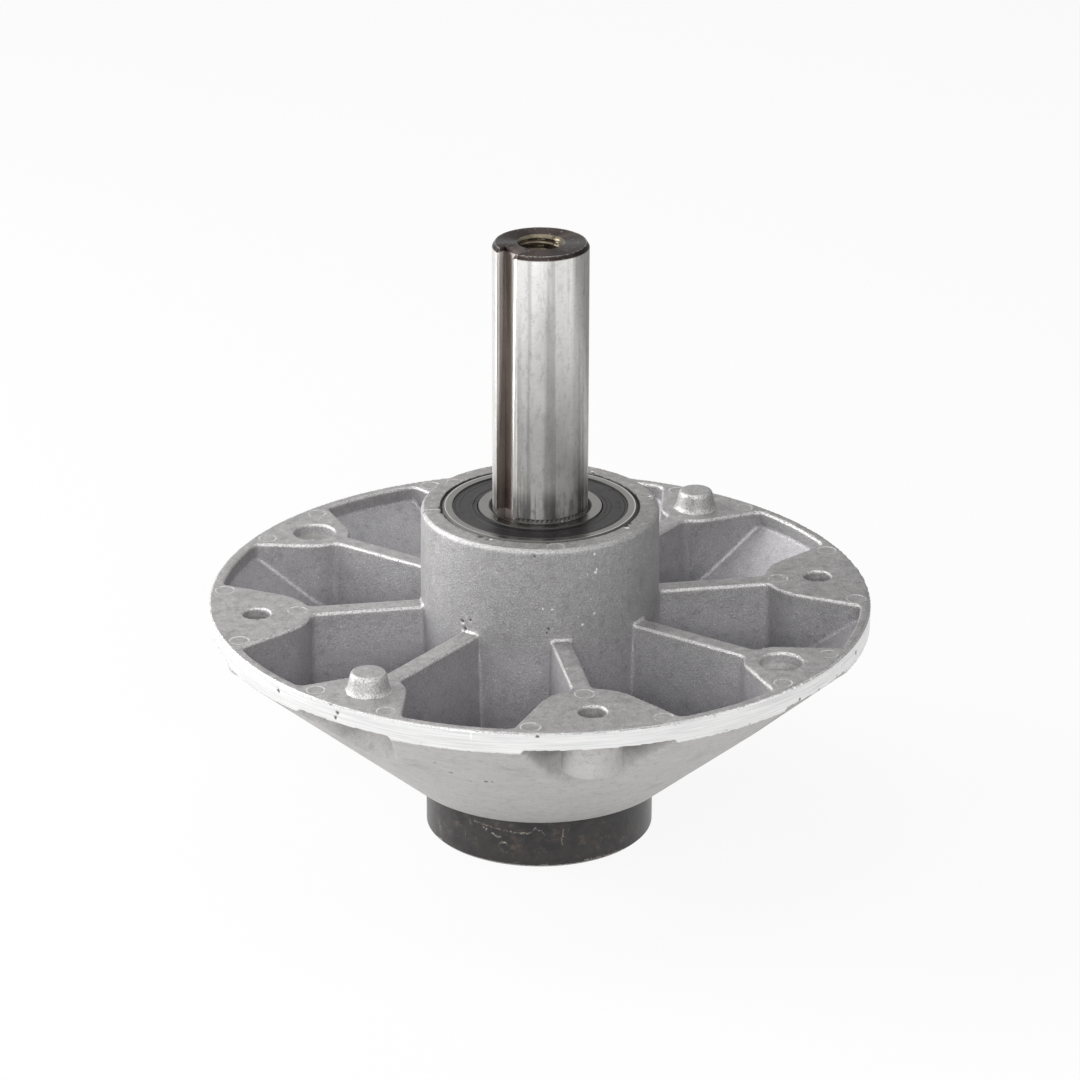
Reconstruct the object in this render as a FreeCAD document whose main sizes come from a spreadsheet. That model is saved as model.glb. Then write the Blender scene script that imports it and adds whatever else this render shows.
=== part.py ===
"""Blade spindle of a garden machine: die-cast bearing housing with its shaft, bearings and blade hub.

Millimetres, +Z up along the shaft. The origin is the centre of the blade hub's lower face, on which the
spindle stands. The bolt pads lie on the X and Y axes.
"""

import FreeCAD, Part
import os
import Sketcher
from FreeCAD import Placement, Rotation, Vector

doc = FreeCAD.newDocument("BladeSpindle")

# Driving sizes
# Each size is written once. Everything that seats on it, passes through it or lines up with it reads it here.

SIZES = (
    # Heights along the axis
    ("lip_height", 15.05, "housing lip above the blade hub's lower face"),
    ("flange_rise", 50.15, "mounting flange above the lip"),
    ("tower_rise", 25.4, "tower top above the flange"),
    ("shaft_rise", 72.4, "shaft end above the tower top"),
    ("shaft_recess", 1.0, "lower shaft end above the blade hub's lower face"),
    # Casting: rim, skirt and tower
    ("rim_r", 87.0, "outer radius of the rim"),
    ("rim_wall", 2.8, "width of the rim's flat top"),
    ("rim_band", 5.8, "height of the turned band"),
    ("lip_wall", 8.94, "lip of the skirt, from the bearing seat to the cone"),
    ("cone_wall", 2.97, "skirt wall, square to its face"),
    ("floor_wall", 4.0, "flat pocket floor above the lip"),
    ("lip_edge", 0.8, "edge break of the lip"),
    ("tower_r", 31.2, "tower radius at its top"),
    ("tower_draft", 0.5, "draft of the tower, degrees"),
    ("tower_edge", 1.2, "edge radius of the tower top"),
    # Casting: pads, ribs and bays
    ("pad_count", 4, "bolt pads, and as many narrow pads between them"),
    ("pad_inset", 12.0, "pad centres inside the rim's edge"),
    ("bolt_pad_r", 14.2, "nose radius of a bolt pad"),
    ("bolt_pad_half", 21.2, "half width of a bolt pad at the rim wall"),
    ("slim_pad_r", 9.6, "nose radius of a narrow pad"),
    ("slim_pad_half", 16.0, "half width of a narrow pad at the rim wall"),
    ("pad_roof", 4.9, "thickness of a pad over its bay"),
    ("pad_wall", 3.0, "wall between a bay and the pocket beside it"),
    ("rib_width", 5.2, "rib width at the flange"),
    ("rib_draft", 1.5, "draft of a rib's side, degrees"),
    ("wall_fillet", 2.0, "upright fillet where a pad meets its rib and the rim wall"),
    ("flange_edge", 0.5, "edge radius of pads and ribs at the flange"),
    ("bolt_hole_r", 3.6, "radius of a bolt hole"),
    ("bolt_boss_r", 7.8, "boss radius round a bolt hole"),
    ("boss_drop", 15.5, "boss end below the flange"),
    ("plain_hole_r", 5.5, "radius of a plain through hole"),
    ("peg_base_r", 5.6, "locating peg radius at the flange"),
    ("peg_tip_r", 4.5, "locating peg radius at its tip"),
    ("peg_height", 5.2, "locating peg above the flange"),
    ("peg_edge", 0.9, "edge radius of the peg tip"),
    # Ball bearings
    ("bore_r", 12.5, "shaft radius"),
    ("bearing_r", 26.0, "outer ring radius"),
    ("bearing_width", 15.0, "bearing width"),
    ("ring_chamfer", 0.8, "corner of a bearing ring"),
    ("ball_share", 0.294, "ball radius in one ring-to-ring section"),
    ("ball_count", 9, "balls in one bearing"),
    ("ball_gap", 0.1, "clearance between a ball and what holds it"),
    ("land_share", 0.348, "wall of a ring at its shoulder in one ring-to-ring section"),
    ("inner_face_step", 1.0, "step from the inner ring's shoulder to its face"),
    ("seal_seat_wall", 3.0, "outer ring round the seal seat"),
    ("seal_depth", 1.9, "depth of the seal seat"),
    ("seal_recess", 0.25, "seal face below the ring faces"),
    ("seal_lip_gap", 0.3, "running gap at the seal lip"),
    ("cage_side_gap", 0.7, "cage clear of the ring shoulders"),
    ("cage_back", 1.0, "cage behind the balls"),
    ("cage_horn", 2.4, "cage horns above the ball centres"),
    ("press_gap", 0.02, "modelled clearance of a seated ring"),
    ("shoulder_step", 3.2, "housing shoulder behind a bearing seat"),
    # Retaining ring under the lower bearing
    ("clip_thick", 2.0, "retaining ring thickness"),
    ("clip_bite", 1.5, "depth of its groove"),
    ("clip_cover", 1.5, "housing between the lip and the groove"),
    ("clip_band", 3.6, "radial width of the ring"),
    ("clip_gap_half", 24.0, "half the opening of the ring, degrees"),
    ("clip_lug_r", 2.7, "lug radius"),
    ("clip_eye_r", 1.25, "plier hole radius"),
    ("clip_side_gap", 0.08, "clearance beside and behind the ring"),
    # Shaft details, key and spacer
    ("shaft_chamfer_drop", 1.1, "length of the end chamfer"),
    ("shaft_chamfer_in", 0.68, "radial depth of the end chamfer"),
    ("tap_r", 5.1, "core radius of the tapped end holes"),
    ("tap_mouth_step", 1.1, "countersink round a tapped hole"),
    ("relief_width", 1.0, "grinding relief between the bearing journal and the pulley seat"),
    ("relief_depth", 0.2, "depth of that relief"),
    ("tap_depth", 32.0, "depth of a tapped hole"),
    ("drill_tip", 3.0, "height of the drill point"),
    ("key_width", 6.35, "key and keyway width"),
    ("keyway_depth", 3.2, "keyway depth below the shaft's surface"),
    ("key_angle", 211.0, "keyway direction from +X, degrees"),
    ("key_gap", 0.03, "clearance round the key"),
    ("key_end_gap", 0.5, "key set back from the hub's faces"),
    ("spacer_gap", 0.15, "clearance between spacer and shaft"),
    ("spacer_wall", 3.0, "wall of the spacer tube"),
    # Blade hub
    ("hub_r", 30.25, "blade hub radius"),
    ("hub_clear", 1.0, "gap between the blade hub's disc and the housing lip"),
    ("hub_boss_step", 0.3, "blade hub's boss inside the inner ring's face"),
    ("hub_edge", 0.6, "edge chamfer of the blade hub"),
)

sheet = doc.addObject("Spreadsheet::Sheet", "Sizes")
for row, (alias, value, meaning) in enumerate(SIZES, start=1):
    sheet.set(f"A{row}", meaning)
    sheet.set(f"B{row}", str(value))
    sheet.setAlias(f"B{row}", alias)
doc.recompute()

# Places worked out from the driving sizes

LIP = "Sizes.lip_height"
FLANGE = "(Sizes.lip_height + Sizes.flange_rise)"
TOWER_TOP = "(Sizes.lip_height + Sizes.flange_rise + Sizes.tower_rise)"
SHAFT_TOP = f"({TOWER_TOP} + Sizes.shaft_rise)"
SKIRT_TOP = f"({FLANGE} - Sizes.rim_band)"
POCKET_FLOOR = "(Sizes.lip_height + Sizes.floor_wall)"
LIP_R = "(Sizes.bearing_r + Sizes.lip_wall)"
SLOPE = f"(({SKIRT_TOP} - {LIP}) / (Sizes.rim_r - {LIP_R}))"
SLANT = f"sqrt(1 + {SLOPE} ^ 2)"
SKIRT_WALL_UP = f"(Sizes.cone_wall * {SLANT})"
RIM_IN_R = "(Sizes.rim_r - Sizes.rim_wall)"
FLOOR_TOP = f"({SKIRT_TOP} - Sizes.rim_wall * {SLOPE} + {SKIRT_WALL_UP})"
FLOOR_FOOT_R = f"({RIM_IN_R} - ({FLOOR_TOP} - {POCKET_FLOOR}) / {SLOPE})"
LIP_FACE_R = f"({LIP_R} - Sizes.lip_edge)"
LIP_SIDE_R = f"({LIP_R} + Sizes.lip_edge / {SLANT})"
LIP_SIDE = f"({LIP} + Sizes.lip_edge * {SLOPE} / {SLANT})"
TOWER_FOOT_R = f"(Sizes.tower_r + ({TOWER_TOP} - {POCKET_FLOOR}) * tan(Sizes.tower_draft))"
SEAT_R = "(Sizes.bearing_r + Sizes.press_gap)"
UPPER_SEAT = f"({TOWER_TOP} - Sizes.bearing_width)"
CLIP_FLOOR = f"({LIP} + Sizes.clip_cover)"
CLIP_TOP = f"({CLIP_FLOOR} + Sizes.clip_thick + 2 * Sizes.clip_side_gap)"
LOWER_SEAT = f"({CLIP_TOP} + Sizes.bearing_width)"
UPPER_MID = f"({UPPER_SEAT} + Sizes.bearing_width / 2)"
LOWER_MID = f"({CLIP_TOP} + Sizes.bearing_width / 2)"
HALF_WIDTH = "(Sizes.bearing_width / 2)"
PAD_PITCH_R = "(Sizes.rim_r - Sizes.pad_inset)"
BALL_PITCH_R = "((Sizes.bore_r + Sizes.bearing_r) / 2)"
SECTION = "(Sizes.bearing_r - Sizes.bore_r)"
BALL_R = f"(Sizes.ball_share * {SECTION})"
INNER_LAND_R = f"(Sizes.bore_r + Sizes.land_share * {SECTION})"
INNER_FACE_R = f"({INNER_LAND_R} - Sizes.inner_face_step)"
OUTER_LAND_R = f"(Sizes.bearing_r - Sizes.land_share * {SECTION})"
SEAL_SEAT_R = "(Sizes.bearing_r - Sizes.seal_seat_wall)"
HOUSING_LAND_R = "(Sizes.bearing_r - Sizes.shoulder_step)"
CLIP_GROOVE_R = "(Sizes.bearing_r + Sizes.clip_bite)"
TAP_MOUTH_R = "(Sizes.tap_r + Sizes.tap_mouth_step)"
HUB_BOSS_R = f"({INNER_FACE_R} - Sizes.hub_boss_step)"
KEY_HALF = "(Sizes.key_width / 2)"
KEYWAY_FLOOR = "(Sizes.bore_r - Sizes.keyway_depth)"
HUB_TOP = f"({LIP} - Sizes.hub_clear)"
BEYOND = "(Sizes.rim_r + 3 * Sizes.rim_wall)"


def number(expression):
    """Value of an expression of the sheet's sizes."""
    return float(sheet.evalExpression(expression))


# Helpers: bodies, sketches and features

def new_body(label, lift=None):
    body = doc.addObject("PartDesign::Body", label)
    body.Label = label
    if lift:
        body.setExpression("Placement.Base.z", lift)
    return body


def origin_part(body, role):
    return next(part for part in body.Origin.OriginFeatures if part.Role == role)


def new_sketch(body, plane, name, lift=None, turn=None):
    """Sketch on a plane of its body, lifted along the plane's normal and turned in it by an angle."""
    sketch = body.newObject("Sketcher::SketchObject", name)
    sketch.AttachmentSupport = (origin_part(body, plane), [""])
    sketch.MapMode = "FlatFace"
    sketch.AttachmentOffset = Placement(Vector(0, 0, 0), Rotation(Vector(0, 0, 1), 0))
    if lift:
        sketch.setExpression("AttachmentOffset.Base.z", lift)
    if turn:
        sketch.setExpression("AttachmentOffset.Rotation.Angle", turn)
    return sketch


def tie_point(sketch, line, end, x, y):
    """Tie one end of a sketch line to a place given by two expressions."""
    for kind, axis, expression in (("DistanceX", -2, x), ("DistanceY", -1, y)):
        if expression == "0":
            sketch.addConstraint(Sketcher.Constraint("PointOnObject", line, end, axis))
            continue
        index = sketch.addConstraint(Sketcher.Constraint(kind, -1, 1, line, end, number(expression)))
        sketch.setExpression(f"Constraints[{index}]", expression)


def draw_polygon(sketch, corners):
    """Closed outline through corners given as pairs of expressions."""
    points = [Vector(number(x), number(y), 0) for x, y in corners]
    count = len(points)
    lines = [sketch.addGeometry(Part.LineSegment(points[i], points[(i + 1) % count])) for i in range(count)]
    for i in range(count):
        sketch.addConstraint(Sketcher.Constraint("Coincident", lines[i], 2, lines[(i + 1) % count], 1))
    for line, (x, y) in zip(lines, corners):
        tie_point(sketch, line, 1, x, y)


def draw_circle(sketch, x, y, radius):
    """Circle whose centre and radius are expressions."""
    centre = Vector(number(x), number(y), 0)
    circle = sketch.addGeometry(Part.Circle(centre, Vector(0, 0, 1), number(radius)))
    tie_point(sketch, circle, 3, x, y)
    index = sketch.addConstraint(Sketcher.Constraint("Radius", circle, number(radius)))
    sketch.setExpression(f"Constraints[{index}]", radius)


def revolve(body, name, corners, kind="PartDesign::Revolution"):
    """Turn a closed half section, drawn as (radius, height), round the body's Z axis."""
    sketch = new_sketch(body, "XZ_Plane", name + "_section")
    draw_polygon(sketch, corners)
    return turn_sketch(body, name, sketch, kind)


def turn_sketch(body, name, sketch, kind):
    feature = body.newObject(kind, name)
    feature.Refine = False
    feature.Profile = sketch
    feature.ReferenceAxis = (sketch, ["V_Axis"])
    feature.Angle = 360.0
    return feature


def extrude(body, name, sketch, length, up=True, kind="PartDesign::Pad"):
    """Pad or Pocket a sketch by a length, upward or downward."""
    feature = body.newObject(kind, name)
    feature.Refine = False
    feature.Profile = sketch
    feature.Type = "Length"
    feature.setExpression("Length", length)
    feature.Reversed = up if kind == "PartDesign::Pocket" else not up
    return feature


def around(body, name, originals, count):
    """Repeat features evenly round the body's Z axis."""
    doc.recompute()
    pattern = body.newObject("PartDesign::PolarPattern", name)
    pattern.Refine = False
    pattern.Originals = originals
    pattern.Axis = (origin_part(body, "Z_Axis"), [""])
    pattern.Angle = 360.0
    pattern.setExpression("Occurrences", count)
    body.Tip = pattern
    doc.recompute()
    return pattern


def round_edges(body, name, radius, wanted):
    """Fillet each edge of the body so far that the test function wants."""
    doc.recompute()
    base = body.Tip
    names = [f"Edge{i}" for i, edge in enumerate(base.Shape.Edges, start=1) if wanted(edge)]
    fillet = body.newObject("PartDesign::Fillet", name)
    fillet.Base = (base, names)
    fillet.setExpression("Radius", radius)
    body.Tip = fillet
    doc.recompute()
    return fillet


def middle_of(edge):
    """Height of an edge's middle and its distance from the axis."""
    point = edge.valueAt((edge.FirstParameter + edge.LastParameter) / 2)
    return point.z, (point.x ** 2 + point.y ** 2) ** 0.5


def level_edge(height, inner_r, outer_r, slack=0.01):
    """Test for an edge that lies level at a height, between two distances from the axis."""
    def wanted(edge):
        level = edge.BoundBox.ZLength < slack and abs(edge.BoundBox.ZMin - number(height)) < slack
        return level and number(inner_r) - slack < middle_of(edge)[1] < number(outer_r) + slack
    return wanted


def upright_edge(top, inner_r, outer_r, slack=0.01):
    """Test for a steep edge that ends at a height, between two distances from the axis."""
    def wanted(edge):
        box = edge.BoundBox
        steep = box.ZLength > 0.9 * edge.Length and abs(box.ZMax - number(top)) < slack
        return steep and number(inner_r) - slack < middle_of(edge)[1] < number(outer_r) + slack
    return wanted


# Housing: one die casting

def side_angle(nose_r, half_width):
    """Angle between a pad's straight side and its radius, from its nose radius and its half width."""
    reach = f"(sqrt({RIM_IN_R} ^ 2 - {half_width} ^ 2) - {PAD_PITCH_R})"
    return f"(acos({nose_r} / sqrt({half_width} ^ 2 + {reach} ^ 2)) - atan({reach} / {half_width}))"


def draw_pad_outline(sketch, nose_r, angle, outer_y):
    """Nose arc round the pad centre with a straight tangent side to each end of a line at outer_y."""
    half = f"(({nose_r} + ({outer_y} - {PAD_PITCH_R}) * sin({angle})) / cos({angle}))"
    pitch, nose, turn = number(PAD_PITCH_R), number(nose_r), number(f"{angle} * 1")
    start = Vector(number(half), number(outer_y), 0)
    radians = turn * 3.141592653589793 / 180
    axis = Vector(0, 0, 1)
    arc_circle = Part.Circle(Vector(0, pitch, 0), axis, nose)
    arc = sketch.addGeometry(Part.ArcOfCircle(arc_circle, 3.141592653589793 + radians, -radians))
    touch = arc_circle.value(-radians)
    right = sketch.addGeometry(Part.LineSegment(touch, start))
    left = sketch.addGeometry(Part.LineSegment(Vector(-start.x, start.y, 0), Vector(-touch.x, touch.y, 0)))
    outer = sketch.addGeometry(Part.LineSegment(start, Vector(-start.x, start.y, 0)))
    tie_point(sketch, arc, 3, "0", PAD_PITCH_R)
    index = sketch.addConstraint(Sketcher.Constraint("Radius", arc, nose))
    sketch.setExpression(f"Constraints[{index}]", nose_r)
    sketch.addConstraint(Sketcher.Constraint("Tangent", arc, 2, right, 1))
    sketch.addConstraint(Sketcher.Constraint("Tangent", left, 2, arc, 1))
    sketch.addConstraint(Sketcher.Constraint("Coincident", right, 2, outer, 1))
    sketch.addConstraint(Sketcher.Constraint("Coincident", outer, 2, left, 1))
    tie_point(sketch, right, 2, half, outer_y)
    tie_point(sketch, left, 1, f"-{half}", outer_y)


def make_housing():
    body = new_body("housing")
    slim_turn = "180 / Sizes.pad_count"
    bolt_angle = side_angle("Sizes.bolt_pad_r", "Sizes.bolt_pad_half")
    slim_angle = side_angle("Sizes.slim_pad_r", "Sizes.slim_pad_half")
    every_pad = (("Bolt", None, "Sizes.bolt_pad_r", bolt_angle), ("Slim", slim_turn, "Sizes.slim_pad_r", slim_angle))

    # Rim, skirt and tower with both bearing seats, as one turned form
    revolve(body, "Shell", (
        (SEAT_R, TOWER_TOP),
        (SEAT_R, UPPER_SEAT),
        (HOUSING_LAND_R, UPPER_SEAT),
        (HOUSING_LAND_R, LOWER_SEAT),
        (SEAT_R, LOWER_SEAT),
        (SEAT_R, LIP),
        (LIP_FACE_R, LIP),
        (LIP_SIDE_R, LIP_SIDE),
        ("Sizes.rim_r", SKIRT_TOP),
        ("Sizes.rim_r", FLANGE),
        (RIM_IN_R, FLANGE),
        (RIM_IN_R, FLOOR_TOP),
        (FLOOR_FOOT_R, POCKET_FLOOR),
        (TOWER_FOOT_R, POCKET_FLOOR),
        ("Sizes.tower_r", TOWER_TOP),
    ))

    # Pads stand on the skirt as full prisms, level with the flange
    for kind, turn, nose_r, angle in every_pad:
        outline = new_sketch(body, "XY_Plane", f"{kind}PadOutline", FLANGE, turn)
        draw_pad_outline(outline, nose_r, angle, "Sizes.rim_r")
        pad = extrude(body, f"{kind}Pad", outline, "Sizes.flange_rise", up=False)
        around(body, f"{kind}Pads", [pad], "Sizes.pad_count")

    # Drafted ribs, wider towards their foot, from the tower wall to the noses of the pads
    rib_in = f"(({SEAT_R} + Sizes.tower_r) / 2)"
    rib_out = f"({PAD_PITCH_R} - Sizes.slim_pad_r + Sizes.pad_wall / 3)"
    rib_half = "(Sizes.rib_width / 2)"
    rib_foot_half = f"({rib_half} + Sizes.flange_rise * tan(Sizes.rib_draft))"
    rib_section = new_sketch(body, "XZ_Plane", "RibSection", f"-{rib_in}")
    draw_polygon(rib_section, (
        (rib_half, FLANGE),
        (f"-{rib_half}", FLANGE),
        (f"-{rib_foot_half}", LIP),
        (rib_foot_half, LIP),
    ))
    rib = extrude(body, "Rib", rib_section, f"{rib_out} - {rib_in}", up=False)
    around(body, "Ribs", [rib], "2 * Sizes.pad_count")

    # Everything below the skirt and outside the rim is cut back to the turned outside
    revolve(body, "SkirtTrim", (
        (LIP_FACE_R, LIP),
        (LIP_SIDE_R, LIP_SIDE),
        ("Sizes.rim_r", SKIRT_TOP),
        ("Sizes.rim_r", f"({FLANGE} + Sizes.rim_wall)"),
        (BEYOND, f"({FLANGE} + Sizes.rim_wall)"),
        (BEYOND, f"({LIP} - Sizes.rim_wall)"),
        (LIP_FACE_R, f"({LIP} - Sizes.rim_wall)"),
    ), "PartDesign::Groove")

    # Bays under the pads, open downward through the skirt
    for kind, turn, nose_r, angle in every_pad:
        outline = new_sketch(body, "XY_Plane", f"{kind}BayOutline", LIP, turn)
        draw_pad_outline(outline, f"({nose_r} - Sizes.pad_wall)", angle, BEYOND)
        bay = extrude(body, f"{kind}Bay", outline, "Sizes.flange_rise - Sizes.pad_roof", True, "PartDesign::Pocket")
        around(body, f"{kind}Bays", [bay], "Sizes.pad_count")

    # Bolt holes through the wide pads, each with a boss that hangs from the pad into its bay
    boss_circle = new_sketch(body, "XY_Plane", "BoltBossCircle", f"({FLANGE} - Sizes.boss_drop)")
    draw_circle(boss_circle, "0", PAD_PITCH_R, "Sizes.bolt_boss_r")
    boss = extrude(body, "BoltBoss", boss_circle, "Sizes.boss_drop - Sizes.pad_roof / 2")
    bolt_circle = new_sketch(body, "XY_Plane", "BoltHoleCircle", FLANGE)
    draw_circle(bolt_circle, "0", PAD_PITCH_R, "Sizes.bolt_hole_r")
    bolt_hole = extrude(body, "BoltHole", bolt_circle, "Sizes.flange_rise", False, "PartDesign::Pocket")
    around(body, "BoltHoles", [boss, bolt_hole], "Sizes.pad_count")

    # Two plain holes through opposite narrow pads
    plain_circle = new_sketch(body, "XY_Plane", "PlainHoleCircle", FLANGE, slim_turn)
    draw_circle(plain_circle, "0", PAD_PITCH_R, "Sizes.plain_hole_r")
    plain_hole = extrude(body, "PlainHole", plain_circle, "Sizes.flange_rise", False, "PartDesign::Pocket")
    around(body, "PlainHoles", [plain_hole], "2")

    # Two tapered locating pegs on the other narrow pads
    peg_circle = new_sketch(body, "XY_Plane", "PegCircle", FLANGE, "-180 / Sizes.pad_count")
    draw_circle(peg_circle, "0", PAD_PITCH_R, "Sizes.peg_base_r")
    peg = extrude(body, "Peg", peg_circle, "Sizes.peg_height")
    peg.setExpression("TaperAngle", "-atan((Sizes.peg_base_r - Sizes.peg_tip_r) / Sizes.peg_height)")
    around(body, "Pegs", [peg], "2")

    # Groove for the retaining ring
    groove = revolve(body, "ClipGroove", (
        (HOUSING_LAND_R, CLIP_FLOOR),
        (CLIP_GROOVE_R, CLIP_FLOOR),
        (CLIP_GROOVE_R, CLIP_TOP),
        (HOUSING_LAND_R, CLIP_TOP),
    ), "PartDesign::Groove")
    groove.Refine = True

    # Edge radii of the casting
    far = f"({FLANGE} + Sizes.peg_height)"
    peg_foot = f"({PAD_PITCH_R} - Sizes.peg_base_r)"
    peg_far = f"({PAD_PITCH_R} + Sizes.peg_base_r)"
    round_edges(body, "TowerEdge", "Sizes.tower_edge", level_edge(TOWER_TOP, "Sizes.tower_r", "Sizes.tower_r"))
    round_edges(body, "PegEdge", "Sizes.peg_edge", level_edge(far, peg_foot, peg_far))
    round_edges(body, "PadFillets", "Sizes.wall_fillet", pad_corner)
    round_edges(body, "FlangeEdges", "Sizes.flange_edge", pocket_rim_edge)
    return body


def pad_corner(edge):
    """Test for an upright edge where a pad meets its rib or the rim wall."""
    pad_start = f"({PAD_PITCH_R} - Sizes.bolt_pad_r - Sizes.wall_fillet)"
    pad_end = f"({PAD_PITCH_R} - Sizes.slim_pad_r + Sizes.wall_fillet / 2)"
    at_rib = upright_edge(FLANGE, pad_start, pad_end)
    at_rim = upright_edge(FLANGE, RIM_IN_R, RIM_IN_R)
    return at_rib(edge) or at_rim(edge)


def pocket_rim_edge(edge):
    """Test for an edge round the mouth of a pocket, at the flange."""
    mouth = level_edge(FLANGE, "Sizes.tower_r + Sizes.pad_wall / 6", "Sizes.rim_r - Sizes.rim_wall / 2")
    return mouth(edge) and not edge.isClosed()


# Ball bearings: rings, balls, cage and two rubber seals each

def make_outer_ring(label, middle):
    body = new_body(label, middle)
    edge_r = "(Sizes.bearing_r - Sizes.ring_chamfer)"
    edge_z = f"({HALF_WIDTH} - Sizes.ring_chamfer)"
    seat_z = f"({HALF_WIDTH} - Sizes.seal_depth)"
    revolve(body, "Ring", (
        ("Sizes.bearing_r", f"-{edge_z}"),
        ("Sizes.bearing_r", edge_z),
        (edge_r, HALF_WIDTH),
        (SEAL_SEAT_R, HALF_WIDTH),
        (SEAL_SEAT_R, seat_z),
        (OUTER_LAND_R, seat_z),
        (OUTER_LAND_R, f"-{seat_z}"),
        (SEAL_SEAT_R, f"-{seat_z}"),
        (SEAL_SEAT_R, f"-{HALF_WIDTH}"),
        (edge_r, f"-{HALF_WIDTH}"),
    ))
    cut_raceway(body)
    return body


def make_inner_ring(label, middle):
    body = new_body(label, middle)
    hole_r = "(Sizes.bore_r + Sizes.press_gap)"
    edge_r = f"({hole_r} + Sizes.ring_chamfer)"
    edge_z = f"({HALF_WIDTH} - Sizes.ring_chamfer)"
    seat_z = f"({HALF_WIDTH} - Sizes.seal_depth)"
    revolve(body, "Ring", (
        (hole_r, f"-{edge_z}"),
        (edge_r, f"-{HALF_WIDTH}"),
        (INNER_FACE_R, f"-{HALF_WIDTH}"),
        (INNER_FACE_R, f"-{seat_z}"),
        (INNER_LAND_R, f"-{seat_z}"),
        (INNER_LAND_R, seat_z),
        (INNER_FACE_R, seat_z),
        (INNER_FACE_R, HALF_WIDTH),
        (edge_r, HALF_WIDTH),
        (hole_r, edge_z),
    ))
    cut_raceway(body)
    return body


def cut_raceway(body):
    """Deep groove for the balls, round the ball circle."""
    sketch = new_sketch(body, "XZ_Plane", "RacewayCircle")
    draw_circle(sketch, BALL_PITCH_R, "0", f"({BALL_R} + Sizes.ball_gap)")
    turn_sketch(body, "Raceway", sketch, "PartDesign::Groove")


def make_seal(label, middle, side):
    """Rubber seal pressed into the outer ring, with a lip that runs above the inner ring's seat."""
    body = new_body(label, middle)
    sign = "" if side == "upper" else "-"
    face = f"({HALF_WIDTH} - Sizes.seal_recess)"
    back = f"({HALF_WIDTH} - Sizes.seal_depth + Sizes.press_gap)"
    thin = f"({HALF_WIDTH} - Sizes.seal_depth / 2 - Sizes.seal_recess / 2)"
    lip_r = f"({INNER_FACE_R} + Sizes.seal_lip_gap)"
    rim_r = f"({SEAL_SEAT_R} - Sizes.press_gap)"
    web_in_r = f"({INNER_LAND_R} + Sizes.seal_lip_gap)"
    web_out_r = f"({OUTER_LAND_R} + Sizes.seal_lip_gap)"
    revolve(body, "Seal", (
        (lip_r, f"{sign}{face}"),
        (lip_r, f"{sign}{thin}"),
        (web_in_r, f"{sign}{thin}"),
        (web_out_r, f"{sign}{thin}"),
        (web_out_r, f"{sign}{back}"),
        (rim_r, f"{sign}{back}"),
        (rim_r, f"{sign}{face}"),
    ))
    return body


def make_cage(label, middle):
    """One-piece crown cage: a ring behind the balls with horns that grip them."""
    body = new_body(label, middle)
    inside_r = f"({INNER_LAND_R} + Sizes.cage_side_gap)"
    outside_r = f"({OUTER_LAND_R} - Sizes.cage_side_gap)"
    pocket_r = f"({BALL_R} + Sizes.ball_gap)"
    back_z = f"(-{pocket_r} - Sizes.cage_back)"
    revolve(body, "Crown", (
        (inside_r, back_z),
        (outside_r, back_z),
        (outside_r, "Sizes.cage_horn"),
        (inside_r, "Sizes.cage_horn"),
    ))
    pocket = body.newObject("PartDesign::SubtractiveSphere", "Pocket")
    pocket.setExpression("Radius", pocket_r)
    pocket.setExpression("Placement.Base.x", BALL_PITCH_R)
    around(body, "Pockets", [pocket], "Sizes.ball_count")
    return body


def make_ball(label, middle, index):
    ball = doc.addObject("Part::Sphere", label)
    ball.Label = label
    ball.setExpression("Radius", BALL_R)
    angle = f"(360 * {index} / Sizes.ball_count)"
    ball.setExpression("Placement.Base.x", f"{BALL_PITCH_R} * cos({angle})")
    ball.setExpression("Placement.Base.y", f"{BALL_PITCH_R} * sin({angle})")
    ball.setExpression("Placement.Base.z", middle)
    return ball


def make_bearing(place, middle):
    pieces = [
        make_outer_ring(f"{place}_outer_ring", middle),
        make_inner_ring(f"{place}_inner_ring", middle),
        make_cage(f"{place}_cage", middle),
        make_seal(f"{place}_top_seal", middle, "upper"),
        make_seal(f"{place}_bottom_seal", middle, "lower"),
    ]
    count = int(number("Sizes.ball_count"))
    return pieces + [make_ball(f"{place}_ball_{index + 1}", middle, index) for index in range(count)]


# Retaining ring: a flat spring ring with two eyed lugs

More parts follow.
